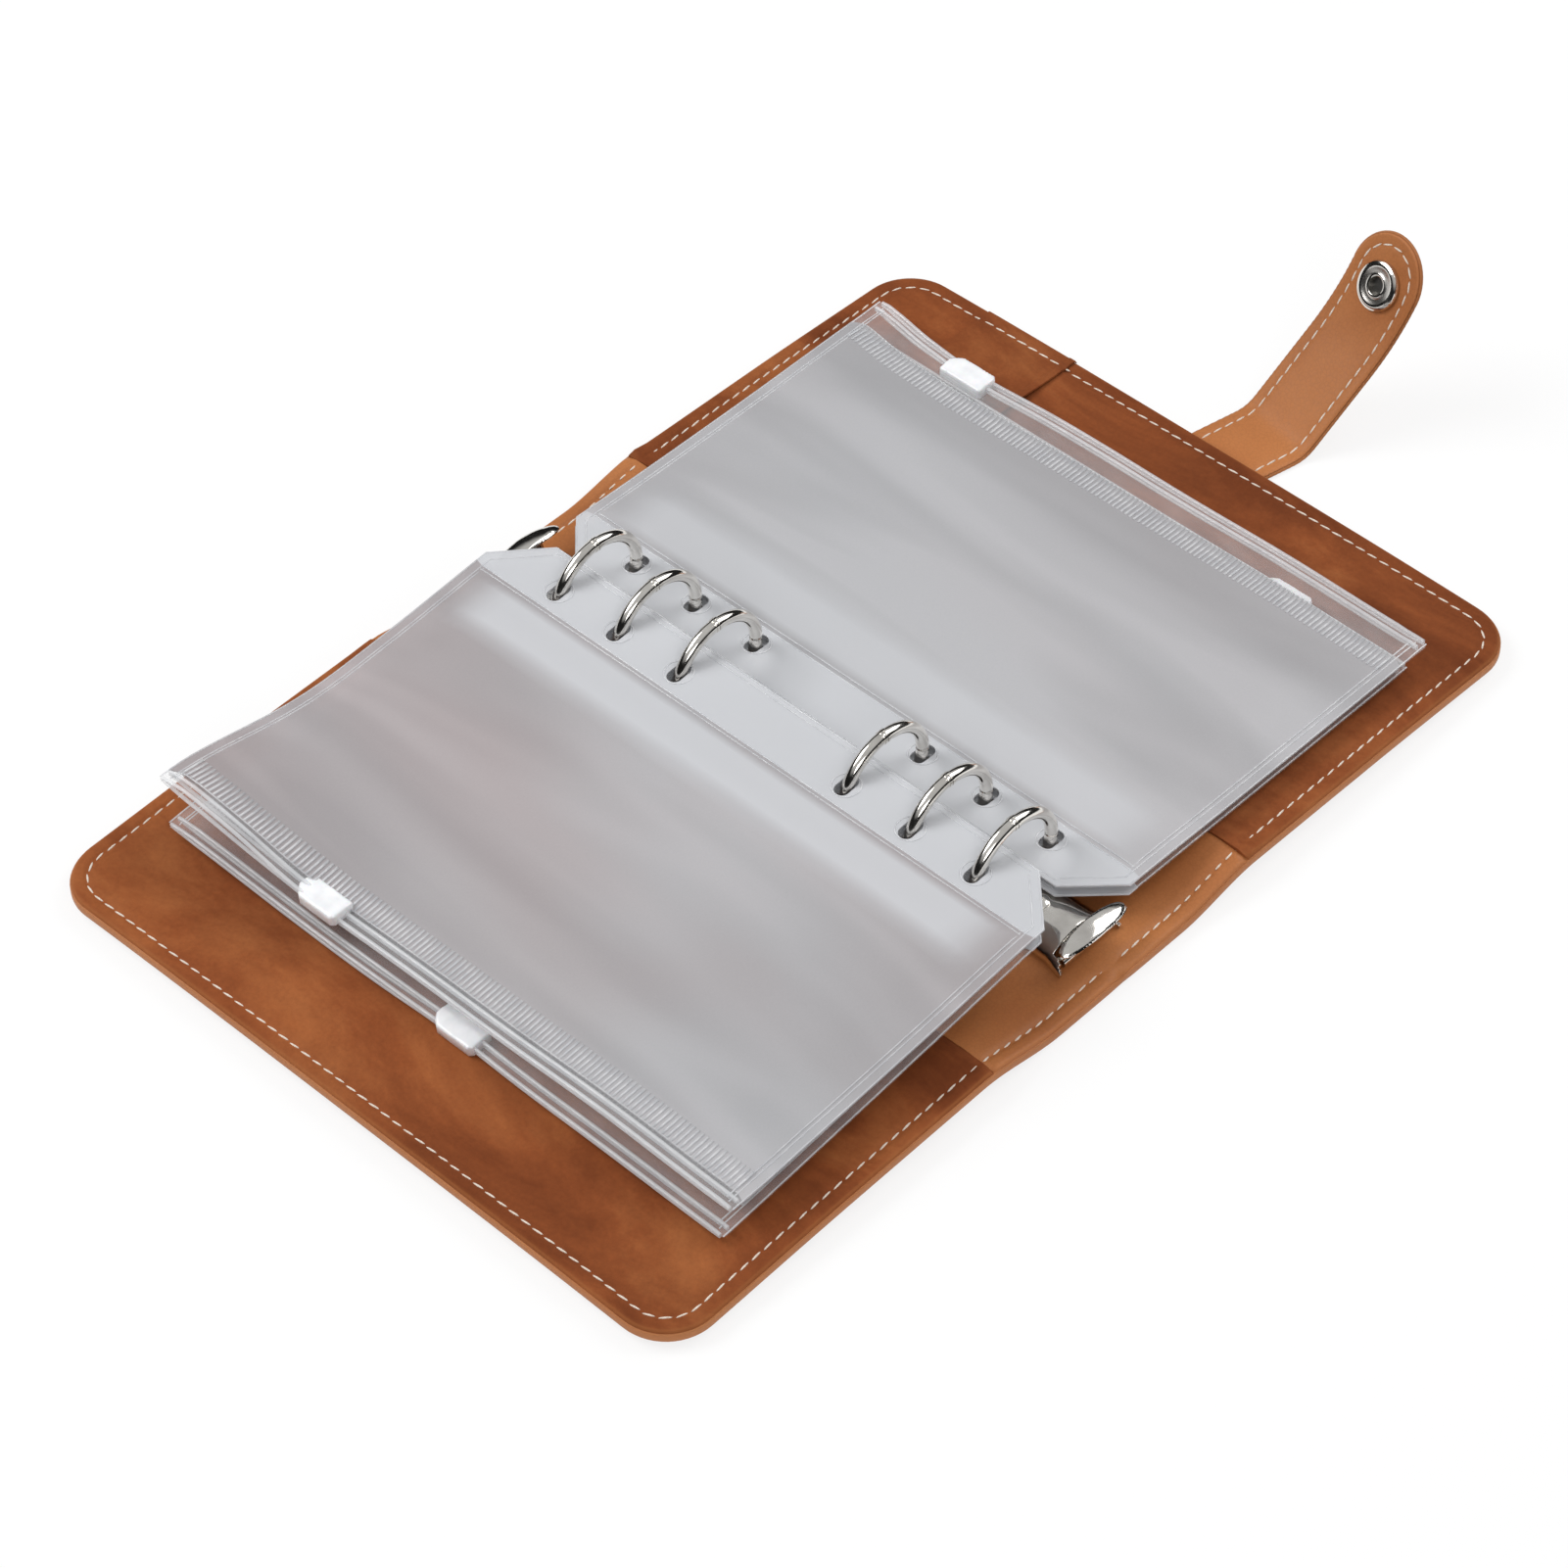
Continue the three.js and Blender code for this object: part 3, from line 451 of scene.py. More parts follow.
# Each small piece is a squashed ball or a bar; "lie" on the paths' points is the surface's normal there
def piecesTree():
    tree, given = newTree("piecesAlongPath", {
        "Pitch": ("Float", 0.004), "Size": ("Vector", (0.003, 0.0007, 0.0005)), "Slant": ("Float", 0.0),
        "Unevenness": ("Float", 0.0), "Seed": ("Int", 4), "Square": ("Bool", False), "Finish": ("Material", None),
    })
    curve = addNode(tree, "GeometryNodeMeshToCurve", {"Mesh": given["Path"]})
    spaced = addNode(tree, "GeometryNodeResampleCurve", {"Curve": curve, "Length": given["Pitch"]}, mode="LENGTH")
    lie = addNode(tree, "GeometryNodeInputNamedAttribute", {"Name": "lie"}, data_type="FLOAT_VECTOR")
    up = addNode(tree, "FunctionNodeAlignRotationToVector", {"Vector": lie}, axis="Z")
    ahead = {"Rotation": up, "Vector": addNode(tree, "GeometryNodeInputTangent")}
    along = addNode(tree, "FunctionNodeAlignRotationToVector", ahead, axis="X", pivot_axis="Z")
    slant = addNode(tree, "FunctionNodeAxisAngleToRotation", {"Axis": (0, 0, 1), "Angle": given["Slant"]})
    rotations = {"Rotation": along, "Rotate By": slant}
    turned = addNode(tree, "FunctionNodeRotateRotation", rotations, rotation_space="LOCAL")
    ball = addNode(tree, "GeometryNodeMeshUVSphere", {"Segments": 8, "Rings": 6, "Radius": 0.5})
    either = {"Switch": given["Square"], "False": ball, "True": addNode(tree, "GeometryNodeMeshCube")}
    shape = addNode(tree, "GeometryNodeSwitch", either, input_type="GEOMETRY")
    shaped = addNode(tree, "GeometryNodeTransform", {"Geometry": shape, "Scale": given["Size"]})
    low, high = (
        addNode(tree, "ShaderNodeMath", {0: 1, 1: given["Unevenness"]}, operation=kind) for kind in ("SUBTRACT", "ADD")
    )
    uneven = addNode(tree, "FunctionNodeRandomValue", {2: low, 3: high, "Seed": given["Seed"]}, data_type="FLOAT")
    placed = {"Points": spaced, "Instance": shaped, "Rotation": turned, "Scale": uneven.outputs[1]}
    return endTree(tree, given, addNode(tree, "GeometryNodeInstanceOnPoints", placed))


sweepAlongPath = sweepTree()
piecesAlongPath = piecesTree()


# Runs a tree on paths, in millimetres, and returns a plain mesh piece
def runTree(name, tree, paths, settings, lies=None):
    mesh = bpy.data.meshes.new(name + "Path")
    points, edges = [], []
    for path in paths:
        start = len(points)
        points += [tuple(np.asarray(p, float) * mm) for p in path]
        edges += [(i, i + 1) for i in range(start, len(points) - 1)]
    mesh.from_pydata(points, edges, [])
    if lies is not None:
        layer = mesh.attributes.new("lie", "FLOAT_VECTOR", "POINT")
        layer.data.foreach_set("vector", np.vstack(lies).astype(np.float32).ravel())
    source = addObject(name + "Path", mesh)
    modifier = source.modifiers.new("build", "NODES")
    modifier.node_group = tree
    sockets = {s.name: s.identifier for s in tree.interface.items_tree if s.in_out == "INPUT"}
    for key, value in settings.items():
        modifier[sockets[key]] = value
    bpy.context.view_layer.update()
    evaluated = source.evaluated_get(bpy.context.evaluated_depsgraph_get())
    made = bpy.data.meshes.new_from_object(evaluated)
    made.name = name
    bpy.data.objects.remove(source)
    bpy.data.meshes.remove(mesh)
    return addObject(name, made)


def sweptPiece(name, paths, radius, finish, flatness=1.0, sides=20):
    settings = {"Radius": radius * mm, "Flatness": flatness, "Sides": sides, "Finish": finish}
    return runTree(name, sweepAlongPath, paths, settings)


def setPieces(name, paths, lies, sizes, seed, finish, square=False):
    settings = {
        "Pitch": sizes["pitch"] * mm, "Size": tuple(v * mm for v in sizes["size"]),
        "Slant": math.radians(sizes["slant"]), "Unevenness": float(sizes["unevenness"]), "Seed": seed,
        "Square": square, "Finish": finish,
    }
    return runTree(name, piecesAlongPath, paths, settings, lies)


# A round piece about an upright axis, from a list of radius and height
def turnedPiece(name, profile, centre, materials, slope=0, turn=0, sides=48):
    points, faces, rings = [], [], []
    for radius, height in profile:
        count = sides if radius > 0 else 1
        rings.append(list(range(len(points), len(points) + count)))
        for i in range(count):
            angle = 2 * math.pi * i / sides
            points.append((radius * math.cos(angle), radius * math.sin(angle), height))
    for low, high in zip(rings, rings[1:]):
        for i in range(sides):
            j = i + 1
            corners = (low[i % len(low)], low[j % len(low)], high[j % len(high)], high[i % len(high)])
            faces.append(list(dict.fromkeys(corners)))
    move = Matrix.Rotation(turn, 4, "Z") @ Matrix.Rotation(-slope, 4, "Y")
    placed = [tuple(move @ Vector(p) + Vector(centre)) for p in points]
    return meshFrom(name, placed, faces, materials, sharp=35)


# Covers: leather outside, suede inside, a stitched rim all round

coverSizes = {
    "reach": 140, "halfHeight": 95.7, "corner": 13, "spineHalf": 20, "thickness": 3.5,
    "crestReach": 44, "crestLift": 3.4, "foreLift": 1.4, "bowFrom": 85, "bowMiddle": 0.45, "bowCorner": 1.2,
    "foldFrom": 17, "foldTo": 23, "sheetThickness": 0.75, "sheetInset": 0.3, "edgeRadius": 0.9,
    "seamInset": 4, "seamDepth": 0.32, "seamWidth": 0.75, "rimLift": 0.16, "puff": 0.1, "puffEnd": (6.5, 12),
    "gridStep": 4, "gridHalf": 92, "startDrop": 0.3, "underGroove": 0.12, "wear": 0.5, "underWear": 0.6,
    "shellInsets": [0.08, 0.25, 0.5, 0.9, 1.6, 3.4, 4.0, 4.6, 8],
    "liningInsets": [0.42, 0.65, 1.0, 1.5, 2.2, 2.9, 3.3, 3.7, 4.0, 4.35, 4.8, 5.4, 6.4, 8, 10.5],
}

# "change" is where the tan lining gives way to the suede, which starts with a raised lip
covers = {
    "front": {
        "side": -1, "change": 41, "lip": 0.22, "suede": suede, "spineShell": ("spine_leather", "spine_board"),
        "spineLining": ("spine_lining",),
    },
    "back": {"side": 1, "change": 42, "lip": 0.75, "suede": suedeBack, "spineShell": (), "spineLining": ()},
}


def undersideAt(plan):
    c = coverSizes
    x, y = np.abs(plan[:, 0]), np.abs(plan[:, 1])
    rise = c["crestLift"] * smooth(c["spineHalf"], c["crestReach"], x)
    slope = (c["foreLift"] - c["crestLift"]) / (c["reach"] - c["crestReach"])
    rise = rise + slope * np.maximum(x - c["crestReach"], 0)
    bow = c["bowMiddle"] - c["bowCorner"] * (y / c["halfHeight"]) ** 3
    return rise + smooth(c["bowFrom"], c["reach"], x) * bow


def edgeDistance(plan):
    c = coverSizes
    qx = np.abs(plan[:, 0]) - (c["reach"] - c["corner"])
    qy = np.abs(plan[:, 1]) - (c["halfHeight"] - c["corner"])
    outside = np.hypot(np.maximum(qx, 0), np.maximum(qy, 0))
    return -(np.minimum(np.maximum(qx, qy), 0) + outside - c["corner"])


# Shape of the stitched rim, over the flat of the lining
def rimShape(distance):
    c = coverSizes
    d, seam = np.asarray(distance, float), c["seamInset"]
    rim = c["rimLift"] * (1 - smooth(seam - 1.1, seam - 0.1, d))
    groove = -c["seamDepth"] * bell(d - seam, c["seamWidth"])
    puff = c["puff"] * smooth(seam + 0.4, seam + 1.8, d) * (1 - smooth(*c["puffEnd"], d))
    return rim + groove + puff - roundedDrop(d - c["sheetInset"], c["edgeRadius"])


def insideTopAt(plan):
    return undersideAt(plan) + coverSizes["thickness"] + rimShape(edgeDistance(plan))


# Distances from the spine where the mesh has lines, close together over the fold
def coverStations(start, end):
    c = coverSizes
    places = set(np.arange(0, 200, c["gridStep"]).tolist())
    places |= set(np.arange(c["foldFrom"] - 1, c["foldTo"] + 1.01, 0.5).tolist())
    places |= set(np.arange(24, 46, 2).tolist())
    return [start] + sorted(p for p in places if start + 0.4 < p < end - 0.4) + [end]


# Line at an inset from the outline, counter-clockwise on the +X side, from the start line round to it again
def coverRing(start, end, inset):
    c = coverSizes
    half, reach = c["halfHeight"] - inset, c["reach"] - inset
    radius = max(c["corner"] - inset, 0.5)
    if end < reach - radius:
        low = [(x, -half) for x in coverStations(start, end)]
        side = [(end, y) for y in np.arange(-half + 4, half - 2, 4)]
    else:
        low = [(x, -half) for x in coverStations(start, reach - radius)]
        turn = [math.radians(a) for a in np.linspace(-90, 0, 15)[1:]]
        low += [(reach - radius + radius * math.cos(a), -half + radius + radius * math.sin(a)) for a in turn]
        side = [(reach, y) for y in np.arange(-half + radius + 4, half - radius - 2, 4)]
    return low + side + [(x, -y) for x, y in reversed(low)]


def coverPlan(side, start, end, inset, insets):
    c = coverSizes
    outline = coverRing(start, end, inset)
    low, high = outline[0][1], outline[-1][1]
    outline += [(start, y) for y in np.arange(high - 4, low + 2, -4)]
    inner = []
    for step in insets:
        if step > inset + 0.05:
            ring = coverRing(start, min(end, c["reach"]), step)
            inner += [p for p in ring if start + 0.3 < p[0] < end - 0.3 or end > c["reach"] - 1]
    rows = np.arange(-c["gridHalf"], c["gridHalf"] + 1, float(c["gridStep"]))
    grid = [(x, y) for x in coverStations(start, end)[1:-1] for y in rows]
    far = edgeDistance(np.array(grid))
    inner += [p for p, d in zip(grid, far) if d > max(insets) + 1.5]
    inner = [p for p in inner if p[0] > start + 0.3]
    return planTriangles(*takenToSide(side, outline, inner))


def wearOf(plan):
    return coverSizes["wear"] * bell(edgeDistance(plan) - 0.55, 0.35)


# The outer leather with the board inside it, from the spine's middle to the fore edge
def coverShell(side, name):
    c = coverSizes
    plan, faces = coverPlan(side, 0, c["reach"], 0, c["shellInsets"])
    distance, base = edgeDistance(plan), undersideAt(plan)
    top = c["thickness"] - c["sheetThickness"] + 0.02
    upper = base + top - roundedDrop(distance, 0.25)
    lower = base + roundedDrop(distance, c["edgeRadius"]) + c["underGroove"] * bell(distance - c["seamInset"], 0.5)
    wear = {"edgeWear": c["underWear"] * bell(distance, 0.5)}
    # The shell takes the darkened tan leather, with its painted shade
    return closedSheet(name, plan, faces, upper, lower, [tanEdge], wear)


# One sheet of the inside lining between two distances from the spine
def liningSheet(side, name, start, end, material, lip=0.0, startDrop=0.0):
    c = coverSizes
    plan, faces = coverPlan(side, start, end, c["sheetInset"], c["liningInsets"])
    reach, base = np.abs(plan[:, 0]), undersideAt(plan) + c["thickness"]
    raised = lip * (1 - smooth(start, start + 7, reach)) - startDrop * (1 - smooth(start, start + 0.8, reach))
    upper = base + rimShape(edgeDistance(plan)) + raised
    return closedSheet(name, plan, faces, upper, base - c["sheetThickness"], [material], {"edgeWear": wearOf(plan)})


# Gives a piece its body and hides the nodes that it stands for; with a side it only bakes its placement into its points
# and takes no body
def finishPiece(piece, body, replaces=(), side=0):
    if side:
        start, end = ((side * coverSizes[key] * mm, 0, 0) for key in ("foldFrom", "foldTo"))
        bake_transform(piece)
        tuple(start)
        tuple(end)
    else:
        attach(piece, body)
    if replaces:
        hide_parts(*replaces)


def buildCovers():
    for name, v in covers.items():
        shell = coverShell(v["side"], name + "LeatherShell")
        stands = (name + "_leather", name + "_board", *v["spineShell"])
        finishPiece(shell, name + "_cover", stands, v["side"])
    for name, v in covers.items():
        lining = liningSheet(v["side"], name + "SpineLining", 0, v["change"], tanLeather)
        stands = (name + "_hinge_lining", *v["spineLining"])
        finishPiece(lining, name + "_cover", stands, v["side"])
    for name, v in covers.items():
        start, end = v["change"] + 0.1, coverSizes["reach"]
        lining = liningSheet(v["side"], name + "SuedeLining", start, end, v["suede"], v["lip"], coverSizes["startDrop"])
        finishPiece(lining, name + "_cover", (name + "_lining",))


buildCovers()
print("covers ready")


bandSizes = {
    "low": 40, "high": 68, "start": 46, "thickness": 0.5, "gape": 0.9, "hem": 0.3, "outerInset": 0.15,
    "foreSteps": [9, 7, 5.6, 4.9, 4.4, 4.0, 3.6, 3.2, 2.6, 1.9, 1.3, 0.9, 0.55, 0.3, 0.12],
    "hemSteps": [0.15, 0.4, 0.9, 1.5, 1.8, 2.1, 2.5, 4, 6], "highSteps": [1.2, 0.6, 0.2],
}


def bandTopAt(plan):
    b = bandSizes
    x, y = plan[:, 0], plan[:, 1]
    gape = b["gape"] * (1 - smooth(b["low"], b["low"] + 7, y)) * (1 - smooth(118, 134, x)) * smooth(50, 66, x)
    hem = b["hem"] * (1 - smooth(b["low"] + 1.6, b["low"] + 2.3, y))
    return insideTopAt(plan) + b["thickness"] + gape + hem


# The pocket band over the back lining: sewn at the fore edge, open along both long sides
def buildBand():
    b = bandSizes
    outer = coverSizes["reach"] - b["outerInset"]
    stations = np.concatenate([np.arange(b["start"], 130, 3), outer - np.array(b["foreSteps"])])
    hem, high = [b["low"] + v for v in b["hemSteps"]], [b["high"] - v for v in b["highSteps"]]
    widths = np.concatenate([hem, np.arange(50, 66, 3), high])
    outline = [(x, b["low"]) for x in [*stations, outer]] + [(outer, y) for y in widths]
    outline += [(x, b["high"]) for x in [outer, *stations[::-1]]] + [(b["start"], y) for y in widths[::-1]]
    plan, faces = planTriangles(outline, [(x, y) for x in stations[1:] for y in widths])
    inward = np.minimum(plan[:, 1] - b["low"], b["high"] - plan[:, 1])
    top = bandTopAt(plan)
    upper, lower = top - roundedDrop(inward, 0.3), top - b["thickness"] * 0.9
    # The band takes the darkened suede, with its painted shade
    band = closedSheet("pocketBandSuede", plan, faces, upper, lower, [suedeDark], {"edgeWear": wearOf(plan)})
    finishPiece(band, "back_cover", ("pocket_band",))


buildBand()


stitchSizes = {
    "pitch": 3.5, "size": (2.95, 0.5, 0.42), "slant": 6, "unevenness": 0.06, "sink": 0.02, "underLift": 0.08,
    "underLeast": 0.12,
}


# Stitches of one cover and its half of the spine, on both faces
def coverStitches(side, name, body):
    s, b = stitchSizes, bandSizes
    ring = coverRing(s["pitch"] / 2, coverSizes["reach"], coverSizes["seamInset"])
    plan = np.array([(side * x, y) for x, y in ring])
    top = insideTopAt(plan)
    if side > 0:
        inBand = (plan[:, 0] > b["start"]) & (plan[:, 1] > b["low"]) & (plan[:, 1] < b["high"])
        top = top + np.where(inBand, b["thickness"], 0)
    under = np.maximum(undersideAt(plan) + s["underLift"], s["underLeast"])
    upward = np.tile((0.0, 0.0, 1.0), (len(plan), 1))
    paths = [np.column_stack([plan, top + s["sink"]]), np.column_stack([plan, under])]
    finishPiece(setPieces(name, paths, [upward, upward], s, 7 + side, thread), body, side=side)


for coverName, cover in covers.items():
    coverStitches(cover["side"], coverName + "Stitches", coverName + "_cover")
print("stitches ready")


# Strap

strapSizes = {
    "rootX": 140.5, "rootY": -4.4, "rootZ": 0.65, "turn": -12.3, "width": 22.9, "layer": 0.62, "gap": 0.05,
    "flat": 14.5, "kink": 5, "slope": 43, "straightEnd": 41, "tipCentre": 62, "tipSlope": 63, "faceInset": 0.55,
    "seamInset": 3.3, "seamDepth": 0.22, "snapPlace": 60, "fineFrom": -6, "fineTo": 80, "fineStep": 0.25, "step": 1.5,
}
strapStitchSizes = {
    "pitch": 3.4, "size": (3.0, 0.48, 0.42), "slant": 5, "unevenness": 0.06, "faceSink": 0.16, "backLift": 0.04,
}


def strapSlope(s):
    t = strapSizes
    rise = t["slope"] * smooth(t["flat"] - 1.5, t["flat"] + t["kink"] + 1.5, s)
    share = np.clip((s - t["straightEnd"]) / (t["tipCentre"] - t["straightEnd"]), 0, 1)
    return np.radians(rise + (t["tipSlope"] - t["slope"]) * share)


strapStep = strapSizes["fineStep"]
strapFine = np.arange(strapSizes["fineFrom"], strapSizes["fineTo"], strapStep)
strapSlopes = strapSlope(strapFine[:-1] + strapStep / 2)
strapX = np.concatenate([[0], np.cumsum(strapStep * np.cos(strapSlopes))]) + strapSizes["fineFrom"]
strapZ = np.concatenate([[0], np.cumsum(strapStep * np.sin(strapSlopes))]) + strapSizes["rootZ"]


# A point s along the strap, w across it and h over its centre line
def strapPoint(s, w, h):
    t = strapSizes
    slope, turn = strapSlope(s), math.radians(t["turn"])
    x = np.interp(s, strapFine, strapX) - np.sin(slope) * h
    z = np.interp(s, strapFine, strapZ) + np.cos(slope) * h
    acrossX = t["rootX"] + x * math.cos(turn) - w * math.sin(turn)
    acrossY = t["rootY"] + x * math.sin(turn) + w * math.cos(turn)
    return np.column_stack([acrossX, acrossY, z])


def strapOutline(inset, start):
    t = strapSizes
    half = t["width"] / 2 - inset
    places = np.arange(start, t["tipCentre"] - 0.5, t["step"])
    turn = np.radians(np.linspace(-90, 90, 27))
    tip = [(t["tipCentre"] + half * math.cos(a), half * math.sin(a)) for a in turn]
    return [(s, -half) for s in places] + tip + [(s, half) for s in places[::-1]]


def strapLayer(name, inset, low, high, material, seam=0.0):
    t = strapSizes
    half = t["width"] / 2
    outline = strapOutline(inset, 1.0)
    outline += [(1.0, w) for w in np.arange(half - inset - 2, -half + inset + 1.9, -2)]
    insets = [inset + v for v in (0.06, 0.15, 0.3, 0.6, 1.2)]
    insets += [t["seamInset"] + v for v in (-0.8, -0.4, 0, 0.4, 0.8, 1.6)]
    inner = [p for i in insets for p in strapOutline(i, 1.9) if p[0] > 1.5]
    grid = [(s, w) for s in np.arange(2.5, 72, t["step"]) for w in np.arange(-8, 8.1, 2)]
    inner += [(s, w) for s, w in grid if abs(w) < 5.2 and math.hypot(max(s - t["tipCentre"], 0), w) < 5.8]
    plan, faces = planTriangles(outline, inner)
    s, w = plan[:, 0], plan[:, 1]
    across = np.hypot(np.maximum(s - t["tipCentre"], 0), w)
    distance = half - inset - across
    # The root end is cut parallel to the cover's fore edge
    cut = s + (1 - smooth(1.0, 12.0, s)) * (math.tan(math.radians(t["turn"])) * w - 1.4)
    groove = seam * bell(half - across - t["seamInset"], 0.55)
    upper = strapPoint(cut, w, high - roundedDrop(distance, 0.4) - groove)
    lower = strapPoint(cut, w, low + roundedDrop(distance, 0.25))
    return closedSheet(name, plan, faces, upper, lower, [material], {"edgeWear": 0.35 * bell(distance - 0.25, 0.25)})


def buildStrap():
    t, n = strapSizes, strapStitchSizes
    half = t["width"] / 2 - t["seamInset"]
    outer = t["gap"] / 2 + t["layer"]
    face = strapLayer("strapFaceLeather", t["faceInset"], t["gap"] / 2, outer, tanLeather, t["seamDepth"])
    # The back layer takes the darkened tan leather, with its painted shade
    back = strapLayer("strapBackLeather", 0, -outer, t["gap"] / 2 + 0.1, strapBackLeather)
    finishPiece(face, "strap", ("strap_face",))
    finishPiece(back, "strap", ("strap_back",))
    places = np.concatenate([np.arange(2.5, t["tipCentre"], 1.0), [t["tipCentre"]]])
    turn = np.radians(np.linspace(-90, 90, 25))[1:-1]
    line = [(p, -half) for p in places] + [(t["tipCentre"] + half * math.cos(a), half * math.sin(a)) for a in turn]
    along, across = np.array(line + [(p, half) for p in places[::-1]]).T
    slope, twist = strapSlope(along), math.radians(t["turn"])
    lie = np.column_stack([-np.sin(slope) * math.cos(twist), -np.sin(slope) * math.sin(twist), np.cos(slope)])
    paths = [strapPoint(along, across, outer - n["faceSink"]), strapPoint(along, across, -outer - n["backLift"])]
    finishPiece(setPieces("strapStitches", paths, [lie, lie], n, 3, thread), "strap")


buildStrap()


snapSizes = {
    "ring": 6.2, "hole": 2.3, "seat": 0.66, "height": 1.6, "cap": 6, "capHeight": 1, "holeShadeReach": 2.35,
    "grooveShadeReach": (3.6, 4.9),
}


def buildSnap():
    n, t = snapSizes, strapSizes
    seat = strapPoint(np.array([float(t["snapPlace"])]), np.zeros(1), np.zeros(1))[0]
    slope = float(strapSlope(np.array([float(t["snapPlace"])]))[0])
    turn = math.radians(t["turn"])
    r, hole, low, top = n["ring"], n["hole"], n["seat"], n["seat"] + n["height"]
    ring = [
        (0.0, low - 0.2), (hole, low - 0.2), (r - 0.4, low), (r, low + 0.25), (r + 0.05, low + 0.55),
        (r - 0.25, top - 0.35), (r - 0.75, top - 0.08), (r - 1.2, top), (r - 1.7, top - 0.06), (r - 2.1, top - 0.22),
        (hole + 1.0, top - 0.3), (hole + 0.7, top - 0.12), (hole + 0.35, top - 0.04), (hole, top - 0.16),
        (hole - 0.1, top - 0.5), (hole - 0.12, low + 0.1), (0.0, low + 0.1),
    ]
    socket = turnedPiece("snapSocketRing", ring, seat, [nickel, darkNickel, grooveShadeNickel], slope, turn)
    # Painted shade: faces in the hole and in the groove round it take the darkened nickels
    grooveFrom, grooveTo = n["grooveShadeReach"]
    for polygon in socket.data.polygons:
        reach = (polygon.center - Vector(seat) * mm).length / mm
        polygon.material_index = 1 if reach < n["holeShadeReach"] else 2 if grooveFrom < reach < grooveTo else 0
    finishPiece(socket, "strap", ("snap_socket",))
    cap = [
        (0.0, -low - n["capHeight"]), (2.5, -low - 0.95), (4.2, -low - 0.75), (5.3, -low - 0.45),
        (n["cap"] - 0.1, -low - 0.15), (n["cap"], -low), (n["cap"] - 0.3, -low + 0.1), (1.9, -low + 0.12),
        (1.9, low + 0.05), (0.0, low + 0.05),
    ]
    finishPiece(turnedPiece("snapCapDome", cap, seat, [nickel], slope, turn), "strap", ("snap_cap",))


buildSnap()
print("strap ready")


# Ring mechanism

ringSizes = {
    "places": [-63.5, -44.5, -25.5, 25.5, 44.5, 63.5], "wire": 1.5, "radius": 12.8, "height": 15, "gap": 0.12,
    "legAngle": -25, "legRadius": 4.5, "legEnd": 6.2, "bead": 1.66, "beadReach": (0.05, 0.3, 0.7),
}


# Points on a circle in an upright plane, at angles from the +X side
def uprightArc(side, y, centre, radius, angles):
    return [(side * (centre[0] + radius * math.cos(a)), y, centre[1] + radius * math.sin(a)) for a in angles]


def wirePath(side, y):
    r = ringSizes
    legTurn = math.radians(r["legAngle"])
    start = math.pi / 2 - r["gap"] / 2 / r["radius"]
    points = uprightArc(side, y, (0, r["height"]), r["radius"], np.linspace(start, legTurn, 44))
    inward = r["radius"] - r["legRadius"]
    bend = (inward * math.cos(legTurn), r["height"] + inward * math.sin(legTurn))
    points += uprightArc(side, y, bend, r["legRadius"], np.linspace(legTurn, -math.pi / 2, 12)[1:])
    return points + [(side * r["legEnd"], y, bend[1] - r["legRadius"])]


# One side's six wires, each with a slight swelling where it meets the other half
def buildRings(side, name):
    r, body = ringSizes, name + "_rings"
    wires = sweptPiece(name + "Wires", [wirePath(side, y) for y in r["places"]], r["wire"], nickel)
    finishPiece(wires, body, [f"{name}_ring_{i + 1}" for i in range(6)])
    angles = [math.pi / 2 - (r["gap"] / 2 + v) / r["radius"] for v in r["beadReach"]]
    beads = [uprightArc(side, y, (0, r["height"]), r["radius"], angles) for y in r["places"]]
    finishPiece(sweptPiece(name + "Beads", beads, r["bead"], nickel), body)


buildRings(-1, "left")
buildRings(1, "right")


plateSizes = {
    "halfWidth": 8.8, "rise": 5.75, "foot": 3.6, "sheet": 0.8, "halfLength": 82.5, "earLength": 4, "earHeight": 2.9,
    "earFlare": 1.5, "notchWidth": 3.9, "notchHeight": 9.0, "notchInner": 5.2, "softEdge": 0.15, "softAngle": 50,
}


def addWall(piece, thickness, offset):
    wall = piece.modifiers.new("wall", "SOLIDIFY")
    wall.thickness = thickness * mm
    wall.offset = offset


